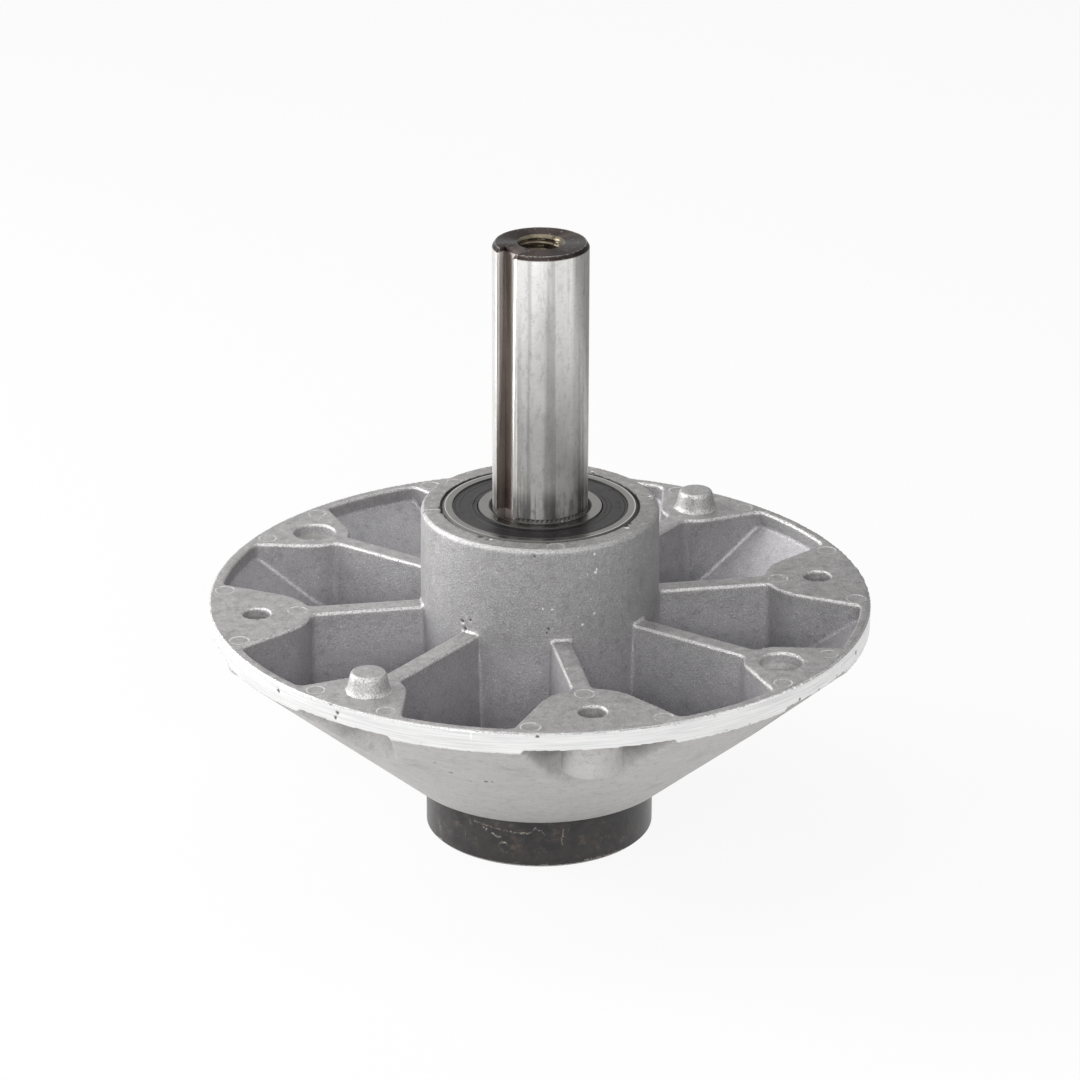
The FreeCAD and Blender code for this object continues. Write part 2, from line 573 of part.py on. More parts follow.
def make_retaining_ring():
    body = new_body("retaining_ring", f"({CLIP_FLOOR} + Sizes.clip_side_gap)")
    outer_r = f"({CLIP_GROOVE_R} - Sizes.clip_side_gap)"
    inner_r = f"({outer_r} - Sizes.clip_band)"
    revolve(body, "Band", (
        (inner_r, "0"),
        (outer_r, "0"),
        (outer_r, "Sizes.clip_thick"),
        (inner_r, "Sizes.clip_thick"),
    ))
    lug_angle = f"(Sizes.clip_gap_half * 1 deg + asin(Sizes.clip_lug_r / {CLIP_GROOVE_R}))"
    for side, sign in (("Left", ""), ("Right", "-")):
        lug_circle = new_sketch(body, "XY_Plane", f"{side}LugCircle", None, f"{sign}{lug_angle}")
        draw_circle(lug_circle, "0", inner_r, "Sizes.clip_lug_r")
        extrude(body, f"{side}Lug", lug_circle, "Sizes.clip_thick")
        eye_circle = new_sketch(body, "XY_Plane", f"{side}EyeCircle", None, f"{sign}{lug_angle}")
        draw_circle(eye_circle, "0", inner_r, "Sizes.clip_eye_r")
        extrude(body, f"{side}Eye", eye_circle, "Sizes.clip_thick", True, "PartDesign::Pocket")
    gap = new_sketch(body, "XY_Plane", "GapWedge")
    reach = f"(2 * {CLIP_GROOVE_R})"
    draw_polygon(gap, (
        ("0", "0"),
        (f"({reach} * sin(Sizes.clip_gap_half))", f"({reach} * cos(Sizes.clip_gap_half))"),
        (f"-({reach} * sin(Sizes.clip_gap_half))", f"({reach} * cos(Sizes.clip_gap_half))"),
    ))
    extrude(body, "Gap", gap, "Sizes.clip_thick", True, "PartDesign::Pocket")
    return body


# Shaft, key, spacer and blade hub

def make_shaft():
    body = new_body("shaft", "Sizes.shaft_recess")
    length = f"({SHAFT_TOP} - Sizes.shaft_recess)"
    end_r = "(Sizes.bore_r - Sizes.shaft_chamfer_in)"
    mouth_drop = f"({TAP_MOUTH_R} - Sizes.tap_r)"
    revolve(body, "Bar", (
        ("0", f"({length} - Sizes.tap_depth - Sizes.drill_tip)"),
        ("Sizes.tap_r", f"({length} - Sizes.tap_depth)"),
        ("Sizes.tap_r", f"({length} - {mouth_drop})"),
        (TAP_MOUTH_R, length),
        (end_r, length),
        ("Sizes.bore_r", f"({length} - Sizes.shaft_chamfer_drop)"),
        ("Sizes.bore_r", "Sizes.shaft_chamfer_drop"),
        (end_r, "0"),
        (TAP_MOUTH_R, "0"),
        ("Sizes.tap_r", mouth_drop),
        ("Sizes.tap_r", "Sizes.tap_depth"),
        ("0", "(Sizes.tap_depth + Sizes.drill_tip)"),
    ))
    relief_top = f"({TOWER_TOP} - Sizes.relief_depth)"
    relief_r = "(Sizes.bore_r - Sizes.relief_depth)"
    revolve(body, "JournalRelief", (
        (relief_r, relief_top),
        (relief_r, f"({relief_top} - Sizes.relief_width)"),
        (SEAT_R, f"({relief_top} - Sizes.relief_width)"),
        (SEAT_R, relief_top),
    ), "PartDesign::Groove")
    slot = new_sketch(body, "XY_Plane", "KeywayOutline", None, "Sizes.key_angle")
    draw_polygon(slot, (
        (KEYWAY_FLOOR, KEY_HALF),
        ("(2 * Sizes.bore_r)", KEY_HALF),
        ("(2 * Sizes.bore_r)", f"-{KEY_HALF}"),
        (KEYWAY_FLOOR, f"-{KEY_HALF}"),
    ))
    extrude(body, "Keyway", slot, length, True, "PartDesign::Pocket")
    return body


def make_spacer():
    body = new_body("spacer_tube", LOWER_SEAT)
    inner_r = "(Sizes.bore_r + Sizes.spacer_gap)"
    outer_r = f"({inner_r} + Sizes.spacer_wall)"
    length = f"({UPPER_SEAT} - {LOWER_SEAT})"
    revolve(body, "Tube", (
        (inner_r, "0"),
        (outer_r, "0"),
        (outer_r, length),
        (inner_r, length),
    ))
    return body


def make_blade_hub():
    body = new_body("blade_hub")
    hole_r = "(Sizes.bore_r + Sizes.press_gap)"
    edge_r = "(Sizes.hub_r - Sizes.hub_edge)"
    revolve(body, "Disc", (
        (hole_r, "0"),
        (edge_r, "0"),
        ("Sizes.hub_r", "Sizes.hub_edge"),
        ("Sizes.hub_r", f"({HUB_TOP} - Sizes.hub_edge)"),
        (edge_r, HUB_TOP),
        (HUB_BOSS_R, HUB_TOP),
        (HUB_BOSS_R, CLIP_TOP),
        (hole_r, CLIP_TOP),
    ))
    slot = new_sketch(body, "XY_Plane", "KeywayOutline", None, "Sizes.key_angle")
    slot_out = f"({KEYWAY_FLOOR} + Sizes.key_width + 2 * Sizes.key_gap)"
    draw_polygon(slot, (
        ("(Sizes.bore_r / 2)", KEY_HALF),
        (slot_out, KEY_HALF),
        (slot_out, f"-{KEY_HALF}"),
        ("(Sizes.bore_r / 2)", f"-{KEY_HALF}"),
    ))
    extrude(body, "Keyway", slot, CLIP_TOP, True, "PartDesign::Pocket")
    return body


def make_key():
    key = doc.addObject("Part::Box", "hub_key")
    key.Label = "hub_key"
    foot = "(Sizes.shaft_recess + Sizes.shaft_chamfer_drop)"
    inset = f"({KEYWAY_FLOOR} + Sizes.key_gap)"
    side = f"(-{KEY_HALF} + Sizes.key_gap)"
    key.setExpression("Length", "Sizes.key_width")
    key.setExpression("Width", "Sizes.key_width - 2 * Sizes.key_gap")
    key.setExpression("Height", f"{CLIP_TOP} - {foot} - Sizes.key_end_gap")
    key.Placement = Placement(Vector(0, 0, 0), Rotation(Vector(0, 0, 1), 0))
    key.setExpression("Placement.Rotation.Angle", "Sizes.key_angle")
    key.setExpression("Placement.Base.x", f"{inset} * cos(Sizes.key_angle) - {side} * sin(Sizes.key_angle)")
    key.setExpression("Placement.Base.y", f"{inset} * sin(Sizes.key_angle) + {side} * cos(Sizes.key_angle)")
    key.setExpression("Placement.Base.z", foot)
    return key


# Assembly and export

pieces = [make_housing(), make_shaft(), make_blade_hub(), make_key(), make_spacer(), make_retaining_ring()]
pieces += make_bearing("upper", UPPER_MID)
pieces += make_bearing("lower", LOWER_MID)
doc.recompute()

for item in doc.Objects:
    if "Invalid" in item.State or "Error" in item.State:
        raise RuntimeError(f"{item.Label} failed: {item.State}")
for piece in pieces:
    if piece.Shape.isNull() or not piece.Shape.isValid() or not piece.Shape.Solids:
        raise RuntimeError(f"{piece.Label} has no valid solid")

os.makedirs("parts", exist_ok=True)
for piece in pieces:
    piece.Shape.exportStep(f"parts/{piece.Label}.step")
    box = piece.Shape.BoundBox
    print(f"{piece.Label}: {len(piece.Shape.Solids)} solid, {piece.Shape.Volume:.1f} mm3, "
          f"z {box.ZMin:.2f} to {box.ZMax:.2f}")
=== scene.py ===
# %% [markdown]
# # A blade spindle housing
#
# A garden machine's blade turns under a die-cast aluminium housing. A keyed steel shaft runs through it in two
# sealed ball bearings, and a black steel hub carries the blade. The CAD model gives every solid its place, so this
# notebook adds what a solid can't show: cast skin, turned and ground steel, cut threads, marks and wear.

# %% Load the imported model
import math

import bmesh
import bpy
import numpy as np
from mathutils import Matrix, Vector


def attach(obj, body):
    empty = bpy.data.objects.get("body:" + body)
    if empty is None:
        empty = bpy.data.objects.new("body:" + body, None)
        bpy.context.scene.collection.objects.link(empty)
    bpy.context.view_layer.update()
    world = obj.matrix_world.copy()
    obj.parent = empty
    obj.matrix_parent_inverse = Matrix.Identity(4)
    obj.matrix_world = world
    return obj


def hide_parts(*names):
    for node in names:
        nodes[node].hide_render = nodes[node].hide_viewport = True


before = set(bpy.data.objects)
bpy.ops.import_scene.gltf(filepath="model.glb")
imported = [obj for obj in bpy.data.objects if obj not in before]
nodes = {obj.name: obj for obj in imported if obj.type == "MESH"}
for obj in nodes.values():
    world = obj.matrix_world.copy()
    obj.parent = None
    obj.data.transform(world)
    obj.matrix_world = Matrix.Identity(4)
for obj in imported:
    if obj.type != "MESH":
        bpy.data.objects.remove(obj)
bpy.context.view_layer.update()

scene = bpy.context.scene
MM = 0.001

# %% [markdown]
# ## Camera
#
# The photograph was taken with a long lens from about 22 degrees above the flange. A long lens a metre away keeps
# the two ends of the rim nearly the same size, which a short lens close by wouldn't.

# %% Camera
CAMERA_DISTANCE = 1.17857
CAMERA_HEIGHT_ANGLE = math.radians(22.465)
CAMERA_TURN = math.radians(-10.1)
CAMERA_ROLL = 0.0029
AIM = Vector((0, 0, 0.08065))
FOCAL_LENGTH = 149.8

camera_data = bpy.data.cameras.new("camera")
camera_data.lens = FOCAL_LENGTH
camera_data.sensor_width = 36
camera_data.clip_start, camera_data.clip_end = 0.05, 60
camera = bpy.data.objects.new("camera", camera_data)
scene.collection.objects.link(camera)
towards = Vector((
    math.cos(CAMERA_HEIGHT_ANGLE) * math.sin(CAMERA_TURN),
    -math.cos(CAMERA_HEIGHT_ANGLE) * math.cos(CAMERA_TURN),
    math.sin(CAMERA_HEIGHT_ANGLE),
))
camera.location = AIM + towards * CAMERA_DISTANCE
camera.rotation_euler = (
    (-towards).to_track_quat("-Z", "Y") @ Matrix.Rotation(CAMERA_ROLL, 3, "Z").to_quaternion()
).to_euler()
scene.camera = camera
print("camera at", [round(v, 3) for v in camera.location])

# %% [markdown]
# ## Shader sums
#
# A finish is a recipe: take a noise, push its contrast, mix two colours with it. Written as nodes such a recipe is
# long, so one class wraps a node's output and lets plain Python sums add the Math nodes. Colours are mixed by a Mix
# node, since a Math node would turn them grey.

# %% Wire and finish classes
class Wire:
    """A node's output that takes part in plain sums; each sum adds one Math node."""

    def __init__(self, finish, socket):
        self.finish, self.socket = finish, socket

    def maths(self, operation, *terms):
        return self.finish.add("ShaderNodeMath", {"operation": operation}, dict(enumerate(terms)))

    def __add__(self, other):
        return self.maths("ADD", self, other)

    def __sub__(self, other):
        return self.maths("SUBTRACT", self, other)

    def __rsub__(self, other):
        return self.maths("SUBTRACT", other, self)

    def __mul__(self, other):
        return self.maths("MULTIPLY", self, other)

    def __abs__(self):
        return self.maths("ABSOLUTE", self)

    def root(self):
        return self.maths("SQRT", self)

    def larger(self, other):
        return self.maths("MAXIMUM", self, other)

    def smaller(self, other):
        return self.maths("MINIMUM", self, other)

    __radd__, __rmul__ = __add__, __mul__


class Finish:
    """One material, or the world, and its node tree."""

    def __init__(self, name, world=None):
        self.material = world or bpy.data.materials.new(name)
        self.material.use_nodes = True
        self.tree = self.material.node_tree
        self.tree.nodes.clear()
        self.output = self.tree.nodes.new("ShaderNodeOutputWorld" if world else "ShaderNodeOutputMaterial")

    def add(self, kind, settings=None, sockets=None, out=0):
        """Adds a node: its settings first, then its sockets' values or wires. Gives the wanted output."""
        node = self.tree.nodes.new(kind)
        for name, value in (settings or {}).items():
            setattr(node, name, value)
        for name, value in (sockets or {}).items():
            if isinstance(value, Wire):
                self.tree.links.new(value.socket, node.inputs[name])
            else:
                node.inputs[name].default_value = value
        return Wire(self, node.outputs[out])

    def place(self):
        """The point on the object in millimetres."""
        spot = self.add("ShaderNodeTexCoord", out="Object")
        return self.add("ShaderNodeVectorMath", {"operation": "SCALE"}, {0: spot, "Scale": 1 / MM})

    def noise(self, place, size, detail=3.0, rough=0.6):
        """Cloudy noise whose blobs are about size millimetres across."""
        return self.add("ShaderNodeTexNoise", None, {"Vector": place, "Scale": 1 / size, "Detail": detail,
                                                     "Roughness": rough})

    def stretch(self, place, sizes):
        """The point with each axis stretched, for streaks."""
        return self.add("ShaderNodeVectorMath", {"operation": "MULTIPLY"}, {0: place, 1: sizes})

    def ease(self, value, low, high):
        """0 below low, 1 above high, smooth between; low may be the larger one."""
        return self.add("ShaderNodeMapRange", {"interpolation_type": "SMOOTHSTEP"},
                        {"Value": value, "From Min": low, "From Max": high})

    def mix(self, share, first, second):
        """Colour mix: first where share is 0 and second where it is 1. A colour is three numbers or a wire."""
        first, second = (colour if isinstance(colour, Wire) else (*colour, 1) for colour in (first, second))
        return self.add("ShaderNodeMix", {"data_type": "RGBA"}, {0: share, 6: first, 7: second}, 2)

    def split(self, vector):
        """The three numbers of a vector."""
        parts = self.add("ShaderNodeSeparateXYZ", None, {0: vector}).socket.node
        return [Wire(self, parts.outputs[axis]) for axis in "XYZ"]

    def radius(self, x, y):
        """Distance from the axis, or from any point whose offsets are x and y."""
        return (x * x + y * y).root()

    def bump(self, height, depth):
        """Height from 0 to 1 as a bump of that depth in metres."""
        return self.add("ShaderNodeBump", None, {"Height": height, "Distance": depth, "Strength": 1.0})

    def white_rays(self):
        """Whether the camera sees this, and whether the camera, a look through glass or a mirror does."""
        rays = self.add("ShaderNodeLightPath").socket.node.outputs
        camera, glass, mirror = (Wire(self, rays[f"Is {kind} Ray"]) for kind in ("Camera", "Transmission", "Glossy"))
        return camera, camera.larger(glass).larger(mirror)

    def show(self, shader):
        """Joins a shader to the output."""
        self.tree.links.new(shader.socket, self.output.inputs["Surface"])
        return self.material

    def surface(self, sockets):
        """The principled surface, joined to the output."""
        return self.show(self.add("ShaderNodeBsdfPrincipled", None, sockets))


def wear(material, *names):
    """Gives CAD nodes or pieces that material."""
    for item in names:
        piece = nodes[item] if isinstance(item, str) else item
        piece.data.materials.clear()
        piece.data.materials.append(material)
    print(material.name, "on", len(names), "pieces")

# %% [markdown]
# ## The casting's shape
#
# A CAD edge is knife sharp, but molten aluminium never fills a sharp corner: every edge and every inner corner of a
# die casting is round, and light runs along it in a thin line. Bevels fail where ribs, drafts and pads meet, so the
# solid is rebuilt as a skin of 0.45 mm squares and smoothed a little, which rounds edges and corners alike. Cut
# surfaces are then put back exactly where the lathe left them: rim band, bearing seat, flange and tower top.

# %% Cast skin from the solid
SKIN, SKIN_TRIANGLES = 0.45, 190_000
RIM_R, SEAT_R = 87.0, 26.02
FLANGE, TOWER_TOP, LIP, BAND_LOW = 65.2, 90.6, 15.05, 59.4
SEAM_GAP, WELD = 0.001, 0.002


def fresh_mesh(piece):
    """The piece's mesh with its modifiers applied."""
    bpy.context.view_layer.update()
    return bpy.data.meshes.new_from_object(piece.evaluated_get(bpy.context.evaluated_depsgraph_get()))


def bake_modifier(piece, kind, **settings):
    """Adds one modifier, applies it and keeps its result as the mesh."""
    modifier = piece.modifiers.new(kind.lower(), kind)
    for name, value in settings.items():
        setattr(modifier, name, value)
    mesh = fresh_mesh(piece)
    piece.modifiers.clear()
    piece.data = mesh
    return piece


def copy_in_mm(name, node):
    """A copy of a CAD node's mesh in millimetres, with its seams welded."""
    welded = bmesh.new()
    welded.from_mesh(nodes[node].data)
    bmesh.ops.scale(welded, vec=(1 / MM,) * 3, verts=welded.verts)
    bmesh.ops.remove_doubles(welded, verts=welded.verts, dist=SEAM_GAP)
    mesh = bpy.data.meshes.new(name)
    welded.to_mesh(mesh)
    welded.free()
    piece = bpy.data.objects.new(name, mesh)
    scene.collection.objects.link(piece)
    return piece


def changed(piece, change):
    """Runs a change on the piece's mesh and gives what it counts."""
    mesh = bmesh.new()
    mesh.from_mesh(piece.data)
    count = change(mesh)
    mesh.to_mesh(piece.data)
    mesh.free()
    return count


def drop_crumbs(mesh):
    """Takes out loose crumbs, whose points have only two faces."""
    loose = [corner for corner in mesh.verts if len(corner.link_faces) < 3]
    bmesh.ops.delete(mesh, geom=loose, context="VERTS")
    return len(loose)


def weld(mesh):
    """Joins points that nearly touch and drops faces without area."""
    bmesh.ops.remove_doubles(mesh, verts=mesh.verts, dist=WELD)
    bmesh.ops.dissolve_degenerate(mesh, dist=WELD, edges=mesh.edges)
    return len(mesh.verts)


def shade_smooth(piece):
    """Lets every face of the piece shade into the next."""
    for face in piece.data.polygons:
        face.use_smooth = True


casting = copy_in_mm("casting", "housing")
bake_modifier(casting, "REMESH", mode="VOXEL", voxel_size=SKIN, use_smooth_shade=True)
bake_modifier(casting, "SMOOTH", factor=0.5, iterations=5)
print("skin", len(casting.data.polygons), "squares")

# %% Softer bay edges
# Under the rim the casting's edges are rounder, so the smoothing goes on there. Points are chosen by their distance
# from the cone, and the bolt bosses keep their edges. A plain wall doesn't change however long it is smoothed.
LIP_R, CONE_SLOPE = 34.94, 0.852
CONE_TILT = math.sin(math.atan(CONE_SLOPE))
BOLT_CIRCLE, BOSS_CLEAR = 75, 8.8
SOFT_LOW, SOFT_HIGH, SOFT_DEPTH, SOFT_REACH = 22, 58.2, 0.8, 1.6


def read_points(mesh):
    """The mesh's points as rows of three numbers."""
    flat = np.empty(len(mesh.vertices) * 3, np.float32)
    mesh.vertices.foreach_get("co", flat)
    return flat.reshape(-1, 3).astype(float)


points = read_points(casting.data)
off_cone = (np.hypot(points[:, 0], points[:, 1]) - LIP_R - (points[:, 2] - LIP) / CONE_SLOPE) * CONE_TILT
boss_out = np.abs(points[:, :2]).max(axis=1)
boss_side = np.abs(points[:, :2]).min(axis=1)
off_boss = np.hypot(boss_side, boss_out - BOLT_CIRCLE)
under_rim = ((points[:, 2] > SOFT_LOW) & (points[:, 2] < SOFT_HIGH) & (np.abs(off_cone + SOFT_DEPTH) < SOFT_REACH)
             & (off_boss > BOSS_CLEAR))
soft_edges = casting.vertex_groups.new(name="soft_edges")
soft_edges.add(np.nonzero(under_rim)[0].tolist(), 1.0, "REPLACE")
bake_modifier(casting, "SMOOTH", factor=0.5, iterations=36, vertex_group="soft_edges")
print("softened points", int(under_rim.sum()))

# %% [markdown]
# ## Cut surfaces, ejector marks and wear in the skin
#
# The points of the skin are one array, so a flat face is set with one line of sums. The same array takes the marks
# that the mould leaves: pins push the casting out and leave shallow discs on pads and tower top. Knocks and blow
# holes are small hollows at their places.

# %% Points of the skin
SNAP, SEAT_SNAP = 0.14, 0.2


def smooth_step(value, low, high):
    """0 below low, 1 above high, smooth between."""
    share = np.clip((value - low) / (high - low), 0, 1)
    return share * share * (3 - 2 * share)


def on_circle(angle, radius):
    """Point at an angle from the front, turning to the right, at a distance from the axis."""
    turn = math.radians(angle)
    return radius * math.sin(turn), -radius * math.cos(turn)


points = read_points(casting.data)
radii = np.hypot(points[:, 0], points[:, 1])
for level in (FLANGE, TOWER_TOP, LIP):
    points[np.abs(points[:, 2] - level) < SNAP, 2] = level


def set_radius(chosen, radius):
    """Moves the chosen points to that distance from the axis."""
    points[chosen, :2] *= (radius / radii[chosen])[:, None]


set_radius((np.abs(radii - RIM_R) < SNAP) & (points[:, 2] > BAND_LOW) & (points[:, 2] < FLANGE), RIM_R)
set_radius(np.abs(radii - SEAT_R) < SEAT_SNAP, SEAT_R)
print("points", len(points))

# %% Ejector discs, pits and knocks
# Each bolt pad has two pins near the rim and one on its nose, and each narrow pad has two near the rim
BOLT_PADS, NARROW_PADS = (0, 90, 180, 270), (45, 135, 225, 315)
BOLT_PIN_R, NARROW_PIN_R, TOWER_PIN_R, PIN_DEPTH, PIN_EDGE = 2.5, 2.3, 2.1, 0.1, 0.3
BOLT_PIN_SIDE, BOLT_PIN_OUT, NOSE_PIN_OUT = 16.8, 81.5, 64.3
NARROW_PIN_SIDE, NARROW_PIN_OUT = 11, 82.5


def pad_spot(angle, along, out):
    """Point on a pad: along the rim and out from the axis."""
    turn = math.radians(angle)
    return (out * math.sin(turn) + along * math.cos(turn), -out * math.cos(turn) + along * math.sin(turn))


pins = []
for pad in BOLT_PADS:
    pins += [(*pad_spot(pad, side, BOLT_PIN_OUT), FLANGE, BOLT_PIN_R) for side in (-BOLT_PIN_SIDE, BOLT_PIN_SIDE)]
    pins.append((*pad_spot(pad, 0, NOSE_PIN_OUT), FLANGE, BOLT_PIN_R))
for pad in NARROW_PADS:
    pins += [(*pad_spot(pad, side, NARROW_PIN_OUT), FLANGE, NARROW_PIN_R)
             for side in (-NARROW_PIN_SIDE, NARROW_PIN_SIDE)]
TOWER_PINS = [(*on_circle(angle, radius), TOWER_TOP, TOWER_PIN_R)
              for angle, radius in ((-2, 28.7), (92, 28.1), (225, 27.8))]
pins += TOWER_PINS
for px, py, pz, pin_r in pins:
    away = np.hypot(points[:, 0] - px, points[:, 1] - py)
    near = (away < pin_r + 0.5) & (np.abs(points[:, 2] - pz) < 0.05)
    points[near, 2] -= PIN_DEPTH * (1 - smooth_step(away[near], pin_r - PIN_EDGE, pin_r + PIN_EDGE))
print("ejector marks", len(pins))

# Knocks and blow holes: angle from the front, distance from the axis, height, radius and depth. They lie on the
# tower's top and side, on the skirt and on the rim.
PITS = [
    (138.3, 26.9, 90.6, 0.9, 0.5), (48, 26.3, 90.6, 1.0, 0.5), (52, 26.5, 90.6, 0.8, 0.3), (-89, 26.2, 90.6, 1.0, 0.4),
    (-45, 26.6, 90.6, 1.2, 0.25), (-40, 27.3, 90.6, 0.8, 0.2), (-92, 30.7, 90.6, 0.9, 0.25),
    (-49.8, 31.4, 67.8, 0.7, 0.35), (-45.1, 31.4, 68.8, 0.6, 0.3), (-48.1, 31.4, 65.9, 0.8, 0.35),
    (-12.8, 31.2, 89.0, 0.6, 0.2), (-6.1, 31.4, 68.9, 0.5, 0.15), (-6.7, 31.4, 67.8, 0.4, 0.15),
    (-44.8, 71.5, 46.2, 0.6, 0.5), (-30.6, 75.0, 49.2, 0.7, 0.3), (-29.1, 68.9, 44.0, 0.9, 0.3),
    (-25.6, 64.3, 40.0, 0.4, 0.12), (-22.0, 65.4, 41.0, 0.9, 0.16), (-20.6, 65.7, 41.2, 0.5, 0.1),
    (9.3, 73.3, 47.7, 0.8, 0.3), (110, 60, 36.4, 0.8, 0.3), (171, 70, 44.9, 0.7, 0.3), (-130, 66, 41.5, 0.8, 0.3),
    (160, 31.3, 74, 0.8, 0.3), (100, 31.3, 80, 0.7, 0.25),
    (-45.5, 87.0, 63.2, 0.9, 0.2), (-45.8, 87.0, 61.9, 0.7, 0.2), (-59.3, 87.0, 62.8, 0.7, 0.15),
    (-10.4, 87.0, 64.4, 0.6, 0.15), (59.5, 87.0, 62.2, 0.8, 0.2), (50.7, 87.0, 60.7, 0.7, 0.2),
    (44.5, 87.0, 60.3, 0.8, 0.2), (39.0, 87.0, 60.9, 0.7, 0.15), (133, 87.0, 61.5, 0.8, 0.2),
    (-160, 87.0, 64, 0.8, 0.2),
]
pits = [(*on_circle(angle, radius), height, size, depth) for angle, radius, height, size, depth in PITS]
normals = np.empty(len(points) * 3, np.float32)
casting.data.vertices.foreach_get("normal", normals)
normals = normals.reshape(-1, 3)
for *centre, size, depth in pits:
    away = np.linalg.norm(points - centre, axis=1)
    points -= normals * (depth * (1 - smooth_step(away, 0, size + 0.3)))[:, None]
print("pits", len(pits))

# %% Triangles thinned
# Flat walls need few triangles and rounded edges many, which is how the collapse shares them out. Normals weighted
# by face area then keep each flat wall flat right up to its rounded edge.
casting.data.vertices.foreach_set("co", points.astype(np.float32).ravel())
casting.data.update()
bake_modifier(casting, "DECIMATE", ratio=SKIN_TRIANGLES / (2 * len(casting.data.polygons)),
              use_collapse_triangulate=True)
crumbs = changed(casting, drop_crumbs)
casting.data.transform(Matrix.Scale(MM, 4))
shade_smooth(casting)
bake_modifier(casting, "WEIGHTED_NORMAL", mode="FACE_AREA_WITH_ANGLE", weight=60)
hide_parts("housing")
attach(casting, "housing_body")
print("casting", len(casting.data.polygons), "triangles,", crumbs, "loose points taken out")

# %% [markdown]
# ## The casting's finish
#
# Die-cast aluminium is a dull mid grey, here a little lighter and cooler in the pockets below the flange. Rounded
# edges are lighter, partly where hands and tools rubbed them and partly as a painted highlight, and inner corners get
# a painted highlight too. What looks down and the bays under the rim get a lighter colour: painted light that stands
# in for light thrown up from the floor. Its skin is finely sandy and has tiny bright specks. The rim band was turned
# after casting, so it is bright, with fine lines round it and dark nicks along both edges. The sums below make one
# mask for each of these and mix colours and heights by them.

# %% Masks of the casting
cast = Finish("cast_aluminium")
place = cast.place()
x, y, z = cast.split(place)
out = cast.radius(x, y)
slope = cast.split(cast.add("ShaderNodeNewGeometry", out="Normal"))[2]

clouds = cast.noise(place, 22, 4)
blotches = cast.noise(place, 6, 5, 0.7)
patches = cast.noise(place, 2.2, 4, 0.7)
sand = cast.noise(place, 0.42, 3, 0.7)
grain = cast.noise(place, 0.6, 2, 0.6)
ragged = (cast.noise(place, 1.3, 4, 0.8) - 0.5) * 1.4
streaks = cast.noise(cast.stretch(place, (0.12, 0.12, 0.5)), 1, 4, 0.65)

# The turned band, flat tops, the tower's upper end, rounded edges, inner corners, pockets and what looks down
band = (cast.ease(out, RIM_R - 0.6, RIM_R - 0.25) * cast.ease(z + ragged, BAND_LOW - 0.1, BAND_LOW + 0.3)
        * cast.ease(z + ragged * 0.5, FLANGE - 0.05, FLANGE - 0.3))
top = cast.ease(z, FLANGE - 0.9, FLANGE - 0.2)
flat = cast.ease(slope, 0.93, 0.98) * top
on_tower = cast.ease(z, 84, 88)
# Rounded top edges: partly rubbed wear, partly a painted highlight
edge_wear_and_highlight = (cast.ease(slope, 0.12, 0.3) * cast.ease(slope, 0.97, 0.9) * cast.ease(z, 63.6, 64.2)
            * (1 - on_tower * 0.68))
# Inner corners at the feet of the walls, which get a painted highlight
fillet_highlight = cast.ease(slope, 0.08, 0.2) * cast.ease(slope, 0.68, 0.6) * cast.ease(z, 63.6, 62.0) * cast.ease(z, 20, 22)
inside = cast.ease(z, 66, 58) * cast.ease(out, 84.8, 84.0) * cast.ease(slope, -0.35, -0.1)
under = cast.ease(slope, -0.3, -0.6)
print("masks of", cast.material.name)

# %% Bays, painted highlights round the ejector discs, and the seam as masks
def folded(first, second):
    """Out and sideways on a pad, for pads that repeat every quarter turn."""
    first, second = abs(first), abs(second)
    return first.larger(second), first.smaller(second)


def ring_line(away, radius):
    """Thin line at a radius round a pin's middle."""
    return cast.ease(abs(away - radius), 0.34, 0.1)


def spot(centre):
    """Distance of the point, shaken by the sand, from a place."""
    return cast.add("ShaderNodeVectorMath", {"operation": "DISTANCE"}, {0: shaken, 1: centre}, "Value")


SHAKE, DIAGONAL = 0.9, 0.7071
BOLT_BAY_NOSE, BOLT_BAY_LEAN = 12.7, math.radians(33.2)
SLIM_BAY_NOSE, SLIM_BAY_LEAN = 8.1, math.radians(31.6)
shake = cast.add("ShaderNodeTexNoise", None, {"Vector": place, "Scale": 1.1, "Detail": 2.0}, "Color")
shaken = cast.add("ShaderNodeVectorMath", {"operation": "MULTIPLY_ADD"}, {0: shake, 1: (SHAKE,) * 3, 2: place})
shaken = cast.add("ShaderNodeVectorMath", {"operation": "SUBTRACT"}, {0: shaken, 1: (SHAKE / 2,) * 3})
bolt_out, bolt_side = folded(x, y)
slim_out, slim_side = folded((x + y) * DIAGONAL, (y - x) * DIAGONAL)


def bay_under(out_of, side, nose, lean):
    """The bay under a pad: its round nose and the two sides that lean out to the rim."""
    wedge = cast.ease(out_of, 68.5, 69.0) * cast.ease(side - (out_of - BOLT_CIRCLE) * math.tan(lean),
                                                      nose / math.cos(lean) + 0.1, nose / math.cos(lean) - 0.1)
    return wedge.larger(cast.ease(cast.radius(side, out_of - BOLT_CIRCLE), nose + 0.1, nose - 0.1))


bays = (bay_under(bolt_out, bolt_side, BOLT_BAY_NOSE, BOLT_BAY_LEAN)
        + bay_under(slim_out, slim_side, SLIM_BAY_NOSE, SLIM_BAY_LEAN)) * cast.ease(z, 62.6, 62.2)
pin_ring_highlights = (ring_line(cast.radius(bolt_side - BOLT_PIN_SIDE, bolt_out - BOLT_PIN_OUT), BOLT_PIN_R)
              + ring_line(cast.radius(bolt_side, bolt_out - NOSE_PIN_OUT), BOLT_PIN_R)
              + ring_line(cast.radius(slim_side - NARROW_PIN_SIDE, slim_out - NARROW_PIN_OUT), NARROW_PIN_R)
              ) * flat * (1 - on_tower)
for *centre, pin_r in TOWER_PINS:
    pin_ring_highlights = pin_ring_highlights + ring_line(spot(centre), pin_r) * flat * 0.6

